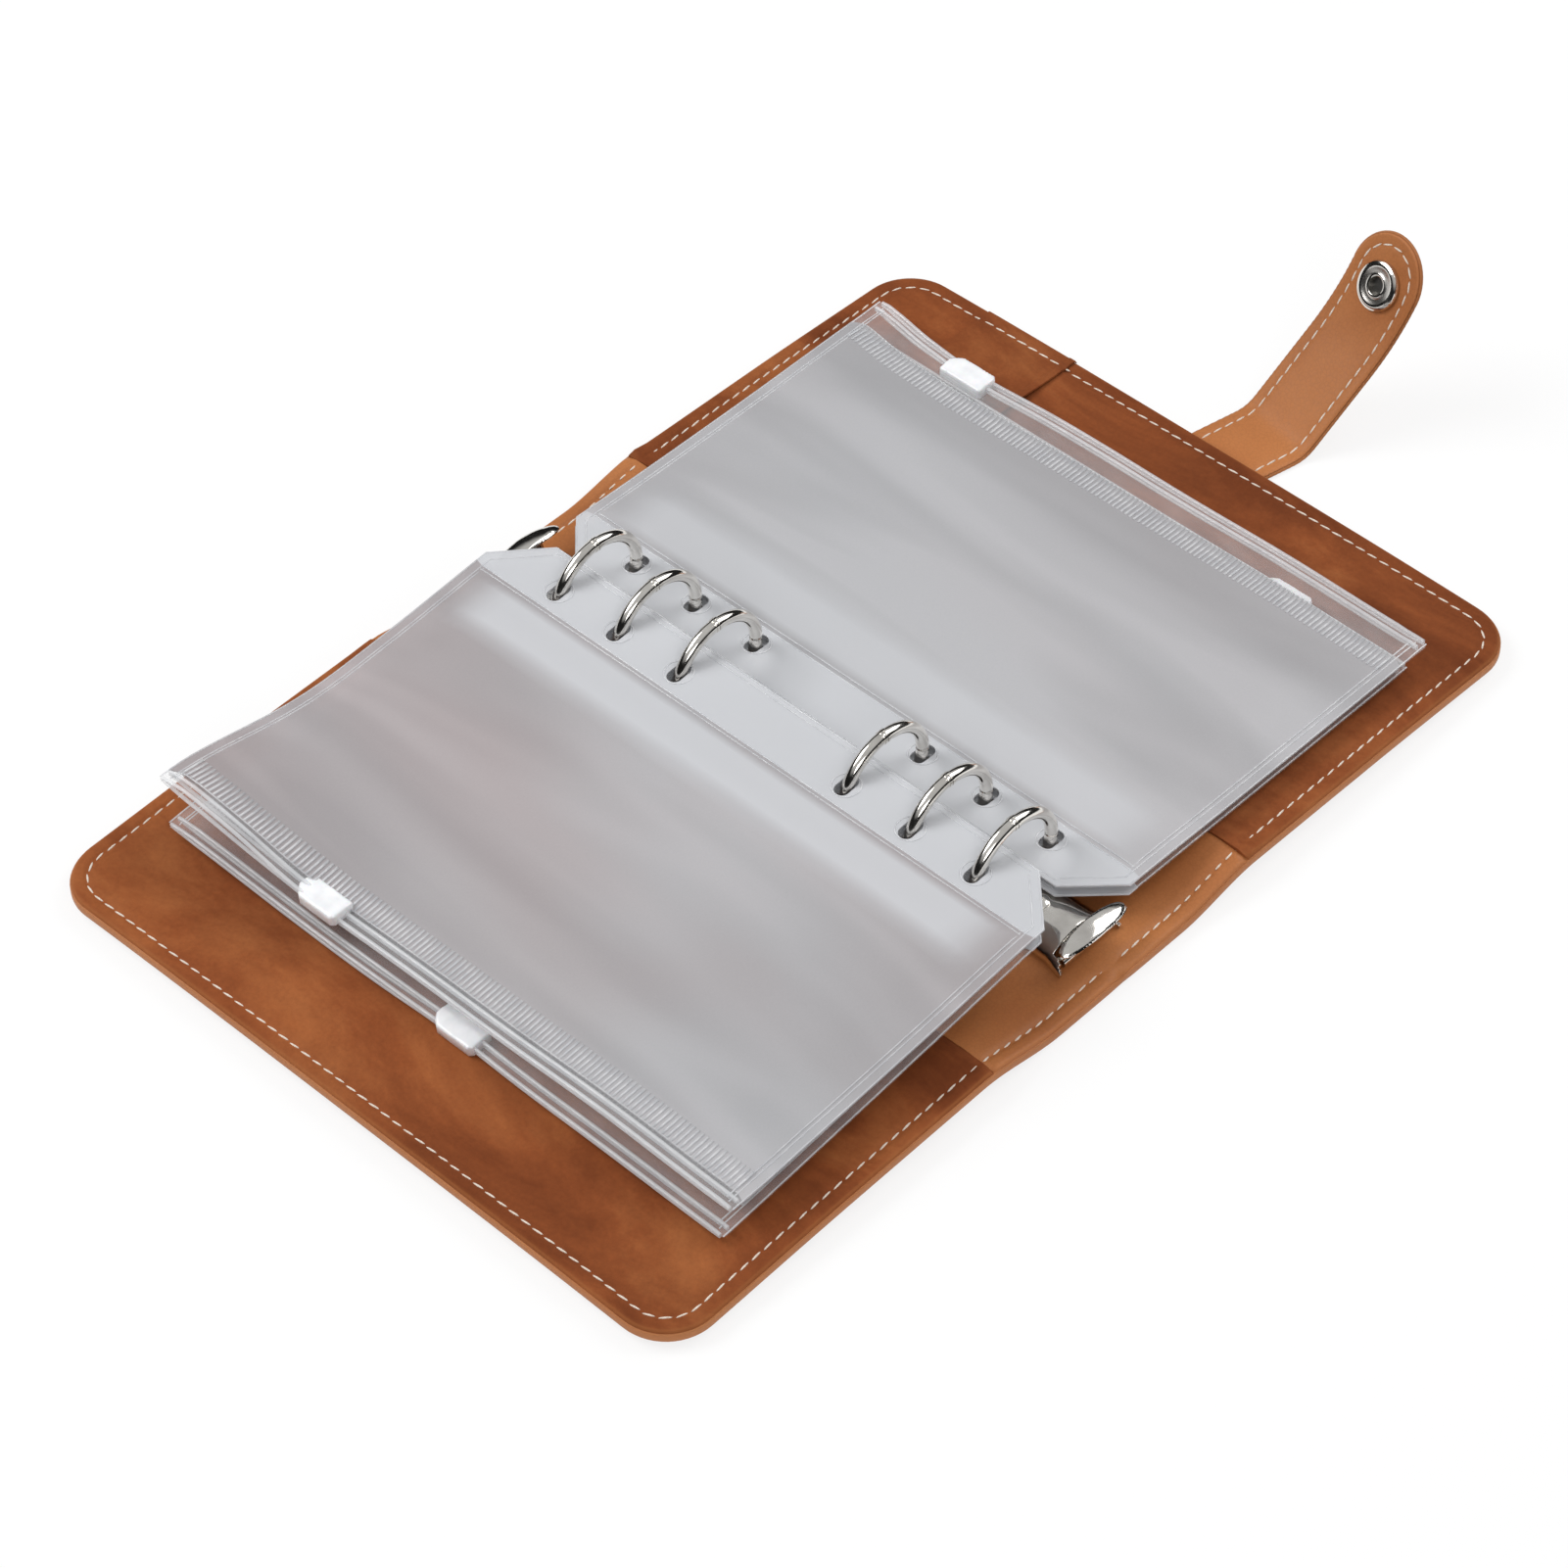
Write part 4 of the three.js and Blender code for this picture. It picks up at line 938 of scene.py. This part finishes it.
# The arched plate, notched for the wires, its walls drawn out at the ends as rounded ears
def buildPlate():
    p, places = plateSizes, ringSizes["places"]
    half, ear, notch = p["halfLength"], p["earLength"], p["notchWidth"] / 2
    angles = np.radians(np.linspace(0, 180, 49))
    ends = half + ear * np.sin(np.linspace(0, math.pi / 2, 7))
    lines = [-v for v in ends] + list(np.arange(-81, 82, 3.0)) + list(ends)
    lines += [y + v for y in places for v in (-notch, -0.7, 0.7, notch)]
    lines = sorted(set(round(v, 4) for v in lines))
    points, faces = [], []
    for y in lines:
        for a in angles:
            flare = p["earFlare"] * smooth(half - 3, half + ear, abs(y)) * abs(math.cos(a)) ** 3
            points.append((math.cos(a) * (p["halfWidth"] + flare), y, p["foot"] + p["rise"] * math.sin(a)))
    count = len(angles)
    for j, middleY in enumerate((low + high) / 2 for low, high in zip(lines, lines[1:])):
        past = abs(middleY) - half
        earTop = p["foot"] + p["earHeight"] * math.sqrt(max(1 - (past / (ear + 0.3)) ** 2, 0))
        atNotch = any(abs(middleY - y) < notch for y in places)
        for a in range(j * count, (j + 1) * count - 1):
            x, _, z = np.array([points[a], points[a + count + 1]]).mean(0)
            cutAway = (past > 0 and z > earTop) or (atNotch and abs(x) > p["notchInner"] and z < p["notchHeight"])
            if not cutAway:
                faces.append([a, a + count, a + count + 1, a + 1])
    piece = meshFrom("archedPlate", *withoutLoose(points, faces)[:2], [nickel])
    addWall(piece, p["sheet"], -1)
    soft = piece.modifiers.new("softEdge", "BEVEL")
    soft.width = p["softEdge"] * mm
    soft.segments = 2
    soft.limit_method = "ANGLE"
    soft.angle_limit = math.radians(p["softAngle"])
    finishPiece(piece, "spine", ("ring_plate",))


buildPlate()


rivetSizes = {
    "places": {"near": -72, "far": 72}, "sides": 32,
    "dome": [
        (0, 8.2), (1.2, 8.2), (1.2, 9.36), (2.2, 9.36), (2.18, 9.5), (1.9, 9.75), (1.3, 9.92), (0.6, 9.99), (0, 10),
    ],
}

for label, y in rivetSizes["places"].items():
    rivet = turnedPiece("plateRivet_" + label, rivetSizes["dome"], (0, y, 0), [nickel], sides=rivetSizes["sides"])
    finishPiece(rivet, "spine", ("plate_rivet_" + label,))


leverSizes = {
    "width": 20.6, "depth": 5.2, "sheet": 1.3, "tilt": 12, "height": 11.7, "place": 87, "crown": 1.5,
    "crownSink": 0.7, "swell": 0.35, "leafX": 0.92, "leafY": 0.8, "edgeRadius": 0.5, "neckWidth": 8.6,
    "neckSheet": 0.9, "pivotPlace": 84.6, "pivotHeight": 5.2, "pivotRadius": 1.3, "pivotInset": 1.1,
    "tongueReach": 79.5,
}


# Points inside an outline: smaller copies of it about its middle
def shrunk(outline, middle, shares):
    return [tuple(middle + (np.array(p) - middle) * f) for f in shares for p in outline]


# A lever: a crowned, leaf-shaped thumb pad on a bent neck, turning on a roll between the plate's ears
def buildLever(end, label):
    v = leverSizes
    name, body = label + "Lever", label + "_lever"
    halfWidth, halfDepth = v["width"] / 2, v["depth"] / 2
    outline = []
    for a in np.linspace(0, 2 * math.pi, 65)[:-1]:
        c, s = math.cos(a), math.sin(a)
        leaf = (math.copysign(abs(c) ** v["leafX"], c), math.copysign(abs(s) ** v["leafY"], s))
        outline.append((halfWidth * leaf[0], halfDepth * leaf[1]))
    inner = shrunk(outline, np.zeros(2), (0.985, 0.95, 0.9, 0.8, 0.65, 0.45, 0.25)) + [(0.0, 0.0)]
    plan, faces = planTriangles(outline, inner)
    x, y = plan[:, 0], plan[:, 1]
    shareX, shareY = x / v["width"] * 2, y / v["depth"] * 2
    edge = (1 - np.minimum(np.hypot(shareX, shareY), 1)) * v["depth"] / 2
    tilt = -end * math.radians(v["tilt"])
    crown = v["crown"] * (1 - shareX ** 2) - v["crown"] * v["crownSink"]
    crown = crown + v["swell"] * (1 - np.minimum(shareY ** 2, 1))

    def padFace(face):
        h = crown + face * v["sheet"] / 2 - face * roundedDrop(edge, v["edgeRadius"])
        placeY = y * math.cos(tilt) - h * math.sin(tilt) + end * v["place"]
        return np.column_stack([x, placeY, y * math.sin(tilt) + h * math.cos(tilt) + v["height"]])
    pad = closedSheet(name + "Pad", plan, faces, padFace(1), padFace(-1), [nickel])
    finishPiece(pad, body, ("lever_" + label,))
    # Neck and tongue as one bent strip, its line in Y and Z
    place, height, pivot, pivotHeight = v["place"], v["height"], v["pivotPlace"], v["pivotHeight"]
    line = [(place - 0.4, height + 0.4), (place - 0.9, height - 2.0), (pivot + 0.2, pivotHeight + 1.2)]
    line += [(pivot - 0.8, pivotHeight), (v["tongueReach"] + 0.6, pivotHeight), (v["tongueReach"], pivotHeight)]
    points = [(x, end * y, z) for y, z in line for x in (-v["neckWidth"] / 2, 0.0, v["neckWidth"] / 2)]
    starts = [3 * i + j for i in range(len(line) - 1) for j in (0, 1)]
    neck = meshFrom(name + "Neck", points, [[a, a + 1, a + 4, a + 3] for a in starts], [nickel])
    curve = neck.modifiers.new("bend", "SUBSURF")
    curve.levels = curve.render_levels = 2
    addWall(neck, v["neckSheet"], 0)
    finishPiece(neck, body)
    half = plateSizes["halfWidth"] - v["pivotInset"]
    roll = [(x, end * pivot, pivotHeight) for x in (-half, -half + 0.4, 0, half - 0.4, half)]
    finishPiece(sweptPiece(name + "Roll", [roll], v["pivotRadius"], nickel), body)


buildLever(-1, "near")
buildLever(1, "far")
print("ring mechanism ready")


# Zip envelopes

envelopeSizes = {
    "halfHeight": 85, "chamfer": 11.5, "binding": 15.2, "sideWeld": 2.6, "ribBand": 6, "zip": 3.3, "film": 0.35,
    "gridStep": 3, "highlightWidth": 13, "weldRadius": 0.2, "holeRim": 3.4, "holeWidth": 1.9, "pocket": 0.3,
    "ridgeInsets": (0.45, 2.8), "ridgeRadius": 0.48, "ridgeLift": 0.12,
}
# The film's own shape: reaches of its swelling, curl, waves and mouth, and the waves' lengths
shapeSizes = {
    "curlReach": 45, "looseReach": 30, "wave": (21, 33), "waveShift": 0.6, "shortWave": (8.7, 19),
    "shortShare": 0.45, "shortReach": 20, "ripple": 0.3, "rippleReach": (9, 12), "dipWidth": 17, "dipReach": 25,
    "swellReach": 13, "swellEdge": 16, "mouthReach": (6, 26), "mouthEnd": (9, 1), "topShare": 0.6, "lowShare": 0.4,
}
ribSizes = {"pitch": 1.3, "size": (0.6, envelopeSizes["ribBand"], 0.3), "slant": 0, "unevenness": 0, "lift": 0.02}
sliderSizes = {
    "length": 13, "width": 6.6, "thickness": 3.3, "overhang": 1.1, "cut": 2.6, "edgeRadius": 0.6, "lip": 0.3,
    "step": 1.0,
}

# "inner" and "outer" are the film's ends across the cover: distance from the middle, and height
envelopes = {
    "leftUpper": {
        "side": -1, "inner": (2.5, 22.1), "outer": (110, 13.6), "node": "left_upper", "body": "left_page",
        "slider": 39, "highlight": 0.8, "holeShift": 0.8, "hole": 3.2, "strip": 1.0, "clearSides": False,
        "puff": 2.2, "under": 0.5, "wave": 0.55, "curl": 10, "curlFrom": 20, "curlOut": 3, "dip": 0.0,
        "mouth": 2.2, "film": filmWarm,
    },
    "leftLower": {
        "side": -1, "inner": (3.3, 19.19), "outer": (113, 7.4), "node": "left_lower", "body": "left_stack",
        "slider": -5, "highlight": 0.8, "holeShift": 0.7, "hole": 2.9, "strip": 5.6, "clearSides": True,
        "puff": 1.0, "under": 0.4, "wave": 0.25, "curl": 0.8, "curlFrom": 40, "curlOut": 0, "dip": 0.8,
        "mouth": 0.8, "film": filmWarmLower,
    },
    "rightUpper": {
        "side": 1, "inner": (3, 12.5), "outer": (117.6, 10.4), "node": "right_upper", "body": "right_page",
        "slider": 52, "highlight": 0.5, "holeShift": 0.4, "hole": 3.3, "strip": 5.6, "clearSides": False,
        "puff": 1.5, "under": 0.25, "wave": 0.3, "curl": 1.0, "curlFrom": 66, "curlOut": 1.2, "dip": 2.0,
        "mouth": 0.6, "film": filmCool,
    },
    "rightLower": {
        "side": 1, "inner": (2.6, 9.84), "outer": (110.8, 8.1), "node": "right_lower", "body": "right_stack",
        "slider": -50, "highlight": 0.5, "holeShift": 0.7, "hole": 2.9, "strip": 5.6, "clearSides": True,
        "puff": 0.5, "under": 0.25, "wave": 0.1, "curl": 0.2, "curlFrom": 60, "curlOut": 0, "dip": 0.0,
        "mouth": 0.3, "film": filmCoolLower,
    },
}


# Points added along a closed outline so that none lie further apart than the step
def spreadLoop(loop, step):
    out = []
    for a, b in zip(loop, loop[1:] + loop[:1]):
        a, b = np.array(a, float), np.array(b, float)
        n = max(1, int(math.ceil(np.linalg.norm(b - a) / step)))
        out += [tuple(a + (b - a) * i / n) for i in range(n)]
    return out


def loopDistance(plan, loop):
    best = np.full(len(plan), 1e9)
    for a, b in zip(loop, loop[1:] + loop[:1]):
        a, b = np.array(a, float), np.array(b, float)
        d = b - a
        t = np.clip(((plan - a) @ d) / max(float(d @ d), 1e-12), 0, 1)
        best = np.minimum(best, np.linalg.norm(plan - (a + t[:, None] * d), axis=1))
    return best


# One envelope; u runs along the film from the binding to the zip, v along the spine
def buildEnvelope(name, e):
    z, w = envelopeSizes, shapeSizes
    side, half, c, binding = e["side"], z["halfHeight"], z["chamfer"], z["binding"]
    across = np.array(e["outer"], float) - np.array(e["inner"], float)
    width = float(np.hypot(*across))
    along = across / width
    normal = np.array([-along[1], along[0]])
    ribEnd = width - z["zip"] - e["strip"]
    ribStart = ribEnd - z["ribBand"]
    pocketHalf = half - z["sideWeld"]
    filmEnd = width - 0.4

    # Height over the flat film and shift outwards, both in millimetres
    def shapeAt(u, v):
        curl = smooth(ribStart - w["curlReach"], width, u) * smooth(e["curlFrom"], half, v)
        loose = smooth(binding, binding + w["looseReach"], u)
        lift = e["curl"] * curl ** 1.5
        lift = lift + e["wave"] * loose * np.sin(v / w["wave"][0] + u / w["wave"][1] + w["waveShift"])
        short = loose * np.sin(v / w["shortWave"][0] - u / w["shortWave"][1])
        lift = lift + w["shortShare"] * e["wave"] * short * smooth(ribStart - w["shortReach"], width, u)
        corner = smooth(width - w["rippleReach"][0], width, u) * smooth(half - w["rippleReach"][1], half, np.abs(v))
        lift = lift + w["ripple"] * corner * np.sin(v * 1.9 + u) * np.cos(u * 1.3)
        near = bell(v - e["slider"], w["dipWidth"]) * smooth(width - w["dipReach"], width, u)
        return lift, e["curlOut"] * curl - e["dip"] * near * (1 - bell(v - e["slider"], 60) * 0.2)

    # Swelling of the pocket, its step at the welds and the opening at the mouth
    def gapAt(u, v):
        inside = smooth(binding, binding + w["swellReach"], u) * (1 - smooth(ribStart - w["swellEdge"], ribStart, u))
        inside = inside * (1 - smooth(pocketHalf - w["swellEdge"], pocketHalf, np.abs(v)))
        pocket = z["pocket"] * smooth(binding - 0.1, binding + 1.2, u)
        pocket = pocket * (1 - smooth(pocketHalf - 1, pocketHalf, np.abs(v)))
        mouth = e["mouth"] * smooth(ribStart, width, u) * smooth(*(e["slider"] + d for d in w["mouthReach"]), v)
        return inside, pocket, mouth * (1 - smooth(*(half - d for d in w["mouthEnd"]), v))

    # A point h over the film's middle; "held" takes the film's shape from another place
    def filmPoint(u, v, h, held=None):
        lift, outward = shapeAt(*(held or (u, v)))
        u, h = u + outward, h + lift
        x, height = (e["inner"][i] + along[i] * u + normal[i] * h for i in (0, 1))
        return np.column_stack([side * x, v, height])

    def topAt(u, v):
        inside, pocket, mouth = gapAt(u, v)
        return z["film"] / 2 + e["puff"] * inside + pocket + mouth * w["topShare"]

    def bottomAt(u, v):
        inside, pocket, mouth = gapAt(u, v)
        return -z["film"] / 2 - e["under"] * inside - pocket * 0.5 - mouth * w["lowShare"]

    low = [(c * f, -half + c - c * f) for f in (0, 0.25, 0.5, 0.75, 1)]
    low += [(u, -half) for u in np.arange(c + z["gridStep"], filmEnd - 1, z["gridStep"])]
    low += [(filmEnd - 0.8, -half), (filmEnd - 0.2, -half + 0.25), (filmEnd, -half + 0.9)]
    outline = low + [(filmEnd, v) for v in np.arange(-half + 3, half - 2, z["gridStep"])]
    outline += [(u, -v) for u, v in low[::-1]]
    outline += [(0, v) for v in np.arange(-half + c + 3, half - c - 1, z["gridStep"])[::-1]]

    def inPlan(u, v, margin):
        inEnds = u > margin and u < filmEnd - margin and abs(v) < half - margin
        return inEnds and u - (abs(v) - (half - c)) > margin * 1.3
    columns = list(np.arange(2.5, binding - 1, 2.5)) + [binding - 0.1, binding + 0.5, binding + 1.2]
    columns += list(np.arange(binding + 3.5, ribStart - 1.5, z["gridStep"]))
    columns += list(np.arange(ribStart, ribEnd - 0.5, 2))
    columns += [ribEnd - 0.05, ribEnd + 0.05, width - z["zip"] - 0.1, width - 1.8]
    columns += list(np.arange(ribEnd + 1.8, width - z["zip"] - 0.6, 1.8))
    rows = list(np.arange(-81, 81.1, z["gridStep"]))
    rows += [s * (pocketHalf - d) for s in (-1, 1) for d in (0.0, 0.7, 1.4)]
    inner = [(u, v) for u in columns for v in rows if inPlan(u, v, 0.8)]

    # The holes lie where the film crosses the wires' circle
    start = np.array([e["inner"][0], e["inner"][1] - ringSizes["height"]])
    toWire = -float(start @ along)
    holeReach = toWire + math.sqrt(toWire ** 2 - float(start @ start) + ringSizes["radius"] ** 2) + e["holeShift"]
    holes = [(side * holeReach, y, e["hole"], z["holeWidth"]) for y in ringSizes["places"]]
    plan, faces = planTriangles(*takenToSide(side, outline, inner), holes)

    def materialOf(centre):
        u = side * centre[0]
        if u < binding - 0.1:
            return 1
        return 2 if u > ribEnd or (e["clearSides"] and abs(centre[1]) > pocketHalf) else 0
    u, v = side * plan[:, 0], plan[:, 1]
    # Painted highlight: a pale band beside the binding where the pouch swells out, faded towards the side welds
    flush = binding + 2.5
    highlightEdge = flush + z["highlightWidth"]
    fade = np.sqrt(np.maximum(1 - smooth(pocketHalf - 14, pocketHalf - 3, np.abs(v)), 0))
    tone = smooth(flush - 1.5, flush + 1, u) * (1 - smooth(highlightEdge - 2, highlightEdge + 1.5, u)) * fade
    upper, lower = filmPoint(u, v, topAt(u, v)), filmPoint(u, v, bottomAt(u, v))
    skins, highlight = [e["film"], bindingFilm, clearFilm], {"paintedHighlight": e["highlight"] * tone}
    pouch = closedSheet(name + "Pouch", plan, faces, upper, lower, skins, highlight, materialOf)
    finishPiece(pouch, e["body"], (e["node"] + "_pouch",))

    # Welds: raised lines along the outline, the side seams, the binding and the holes
    def weldLine(points, height=0.0):
        u, v = np.array(points, float).T
        return filmPoint(u, v, topAt(u, v) + height)

    def straightWeld(u, reach):
        return weldLine([(u, v) for v in np.arange(-reach, reach + 0.1, reach / 40)])
    lines = []
    for d in (0.25, 2.4, 3.3):
        k = d * 0.414
        near = [(d, -half + c + k), (c * 0.5 + d * 0.7, -half + c * 0.5 + d * 0.7), (c + k, -half + d)]
        near += [(u, -half + d) for u in np.arange(c + 4, filmEnd - 1, 4)] + [(filmEnd - d * 0.5, -half + d)]
        far = [(u, -v) for u, v in near]
        if d < 1:
            lines.append(weldLine([*far[::-1], *((d, v) for v in np.arange(half - c - 4, -half + c + 3, -4)), *near]))
        else:
            least = binding if d > 3 else 0
            lines += [weldLine([p for p in seam if p[0] > least]) for seam in (near, far)]
    lines.append(straightWeld(1.5, half - c - 1.4))
    lines += [straightWeld(u, pocketHalf - 0.3) for u in (binding - 0.3, binding + 0.8)]
    turn, rim = np.linspace(0, 2 * math.pi, 33), z["holeRim"]
    for x, y in [h[:2] for h in holes]:
        lines.append(weldLine([(side * x + rim * math.cos(a), y + rim * math.sin(a)) for a in turn], 0.05))
    lines.append(straightWeld(ribEnd, pocketHalf))
    welds = sweptPiece(name + "Welds", lines, z["weldRadius"], weldFilm, 0.6, 8)
    finishPiece(welds, e["body"])

    # Ribs beside the clear strip
    reach = pocketHalf - 0.8
    v = np.arange(-reach, reach + 0.1, reach / 60)
    u = np.full_like(v, (ribStart + ribEnd) / 2)
    path = filmPoint(u, v, topAt(u, v) + ribSizes["lift"])
    outer, inward = (filmPoint(u + d, v, topAt(u + d, v)) for d in (1, -1))
    lie = np.cross(outer - inward, np.gradient(path, axis=0)) * side
    lie = lie / np.linalg.norm(lie, axis=1)[:, None]
    ribs = setPieces(name + "Ribs", [path], [lie], ribSizes, 1, ribFilm, True)
    finishPiece(ribs, e["body"])

    # Zip tracks: ridges above and below the film's edge
    v = np.linspace(-half + 1, half - 1, 70)
    tracks = []
    for inset in z["ridgeInsets"]:
        u = np.full_like(v, width - inset)
        tracks.append(filmPoint(u, v, topAt(u, v) + z["ridgeLift"]))
        tracks.append(filmPoint(u, v, bottomAt(u, v) - z["ridgeLift"]))
    track = sweptPiece(name + "Zip", tracks, z["ridgeRadius"], zipFilm, 0.8, 10)
    finishPiece(track, e["body"], (e["node"] + "_zip",))

    # Slider: a rounded block with one outer corner cut, and a step down along its inner edge
    s = sliderSizes
    cut, end = s["cut"], s["length"] / 2
    outU, inU = width + s["overhang"], width + s["overhang"] - s["width"]
    outline = [(inU, -end + 0.5), (inU + 0.5, -end), (outU - 0.9, -end), (outU, -end + 0.9), (outU, end - cut)]
    outline += [(outU - 0.35 * cut, end - 0.5 * cut), (outU - cut, end), (inU + 0.5, end), (inU, end - 0.5)]
    outline = spreadLoop(outline, s["step"])
    inner = shrunk(outline, np.array(outline).mean(0), (0.985, 0.96, 0.92, 0.85, 0.72, 0.5, 0.25))
    outline, inner = takenToSide(side, outline, inner)
    plan, faces = planTriangles(outline, inner)
    edge = loopDistance(plan, outline)
    u, v = side * plan[:, 0], plan[:, 1]
    held = (np.full_like(v, width), np.full_like(v, e["slider"]))
    solid = s["thickness"] / 2 - roundedDrop(edge, s["edgeRadius"])
    step = s["lip"] * (1 - smooth(inU + 1.4, inU + 2.2, u))
    upper, lower = (filmPoint(u, v + e["slider"], h, held) for h in (solid - step, -solid))
    block = closedSheet(name + "Slider", plan, faces, upper, lower, [whitePlastic], sharp=50)
    finishPiece(block, e["body"] + "_slider", (e["node"] + "_slider",))


for envelopeName, envelope in envelopes.items():
    buildEnvelope(envelopeName, envelope)
    print("envelope ready:", envelopeName)


# CAD nodes that stay as they are get their finish here
# strap_root takes the strap's darkened back leather, with its painted shade
keptFinishes = {"left_rail": nickel, "right_rail": nickel, "snap_stud": nickel, "strap_root": strapBackLeather}
for nodeName, material in keptFinishes.items():
    node = nodes[nodeName]
    if not node.material_slots:
        node.data.materials.append(material)
    for materialSlot in node.material_slots:
        materialSlot.material = material


# Stage, light and camera

stageSizes = {
    "floorReach": 4000, "floorHeight": -0.3, "floorTones": [(0.3, 0.93), (0.7, 0.95)], "mottling": (3, 2),
    "glow": {"From Min": 0.45, "From Max": 1.1, "To Min": 0.8, "To Max": 1.0},
    "sky": [(0.0, 0.03), (0.42, 0.02), (0.54, 0.6), (0.66, 1)], "skyStrength": 0.52,
}


# A pale floor that glows where it is seen, straight or by reflection, and more so far from the middle
def buildFloor():
    material, tree, shader = startMaterial("paleFloor")
    g = stageSizes
    mottling = noiseOf(tree, objectVector(tree), *g["mottling"])
    base = greyRamp(tree, mottling, g["floorTones"])
    feed(tree, shader, {"Base Color": base, "Roughness": 0.9, "Specular IOR Level": 0.1})
    rays = addNode(tree, "ShaderNodeLightPath").outputs
    indirect = {0: rays["Is Glossy Ray"], 1: rays["Is Transmission Ray"]}
    looking = {0: addNode(tree, "ShaderNodeMath", indirect, operation="MAXIMUM"), 1: rays["Is Camera Ray"]}
    looked = addNode(tree, "ShaderNodeMath", looking, operation="MAXIMUM")
    far = addNode(tree, "ShaderNodeVectorMath", {0: objectVector(tree)}, operation="LENGTH").outputs["Value"]
    glowShare = addNode(tree, "ShaderNodeMapRange", {"Value": far, **g["glow"]})
    share = addNode(tree, "ShaderNodeMath", {0: looked, 1: glowShare}, operation="MULTIPLY")
    glow = addNode(tree, "ShaderNodeEmission", {"Strength": 1.0})
    output = next(n for n in tree.nodes if n.type == "OUTPUT_MATERIAL")
    feed(tree, output, {"Surface": addNode(tree, "ShaderNodeMixShader", {"Fac": share, 1: shader, 2: glow})})
    reach, drop = g["floorReach"], g["floorHeight"]
    corners = [(-reach, -reach, drop), (reach, -reach, drop), (reach, reach, drop), (-reach, reach, drop)]
    meshFrom("studioFloor", corners, [[0, 1, 2, 3]], [material])


# Light mostly from above, and plain white behind whatever the camera sees
def buildWorld():
    world = bpy.data.worlds.new("studio")
    bpy.context.scene.world = world
    world.use_nodes = True
    tree = world.node_tree
    tree.nodes.clear()
    coords = addNode(tree, "ShaderNodeTexCoord").outputs["Generated"]
    height = addNode(tree, "ShaderNodeSeparateXYZ", {"Vector": coords}).outputs["Z"]
    sky = greyRamp(tree, height, stageSizes["sky"])
    background = addNode(tree, "ShaderNodeBackground", {"Color": sky, "Strength": stageSizes["skyStrength"]})
    white = addNode(tree, "ShaderNodeBackground", {"Color": (1, 1, 1, 1)})
    camera = addNode(tree, "ShaderNodeLightPath").outputs["Is Camera Ray"]
    mix = addNode(tree, "ShaderNodeMixShader", {"Fac": camera, 1: background, 2: white})
    addNode(tree, "ShaderNodeOutputWorld", {"Surface": mix})


lampSizes = {
    "key": {"place": (-500, 900, 1100), "size": (900, 700), "power": 12.6},
    "fill": {"place": (900, -300, 900), "size": (800, 800), "power": 6.6},
    "front": {"place": (-700, -900, 800), "size": (700, 500), "power": 4.2},
}


def buildLights():
    for label, lamp in lampSizes.items():
        data = bpy.data.lights.new(label, "AREA")
        data.shape = "RECTANGLE"
        data.size, data.size_y = (v * mm for v in lamp["size"])
        data.energy = lamp["power"]
        light = addObject(label, data)
        light.location = Vector(lamp["place"]) * mm
        light.rotation_euler = (-light.location).to_track_quat("-Z", "Y").to_euler()


# The camera as fitted to the photograph
cameraPlace = {
    "place": (-569.89, -549.77, 830.82), "right": (0.68797, -0.72563, -0.01250),
    "down": (-0.53289, -0.49340, -0.68745), "forward": (0.49267, 0.47960, -0.72613),
    "lens": 117.29, "sensor": 36, "clip": (0.05, 20),
}


def buildCamera():
    p = cameraPlace
    data = bpy.data.cameras.new("photoView")
    data.lens, data.sensor_width = p["lens"], p["sensor"]
    data.clip_start, data.clip_end = p["clip"]
    camera = addObject("photoView", data)
    matrix = Matrix([Vector(p["right"]), -Vector(p["down"]), -Vector(p["forward"])]).transposed().to_4x4()
    matrix.translation = Vector(p["place"]) * mm
    camera.matrix_world = matrix
    bpy.context.scene.camera = camera


buildFloor()
buildWorld()
buildLights()
buildCamera()
bpy.context.scene.view_settings.view_transform = "Standard"
print("stage ready")
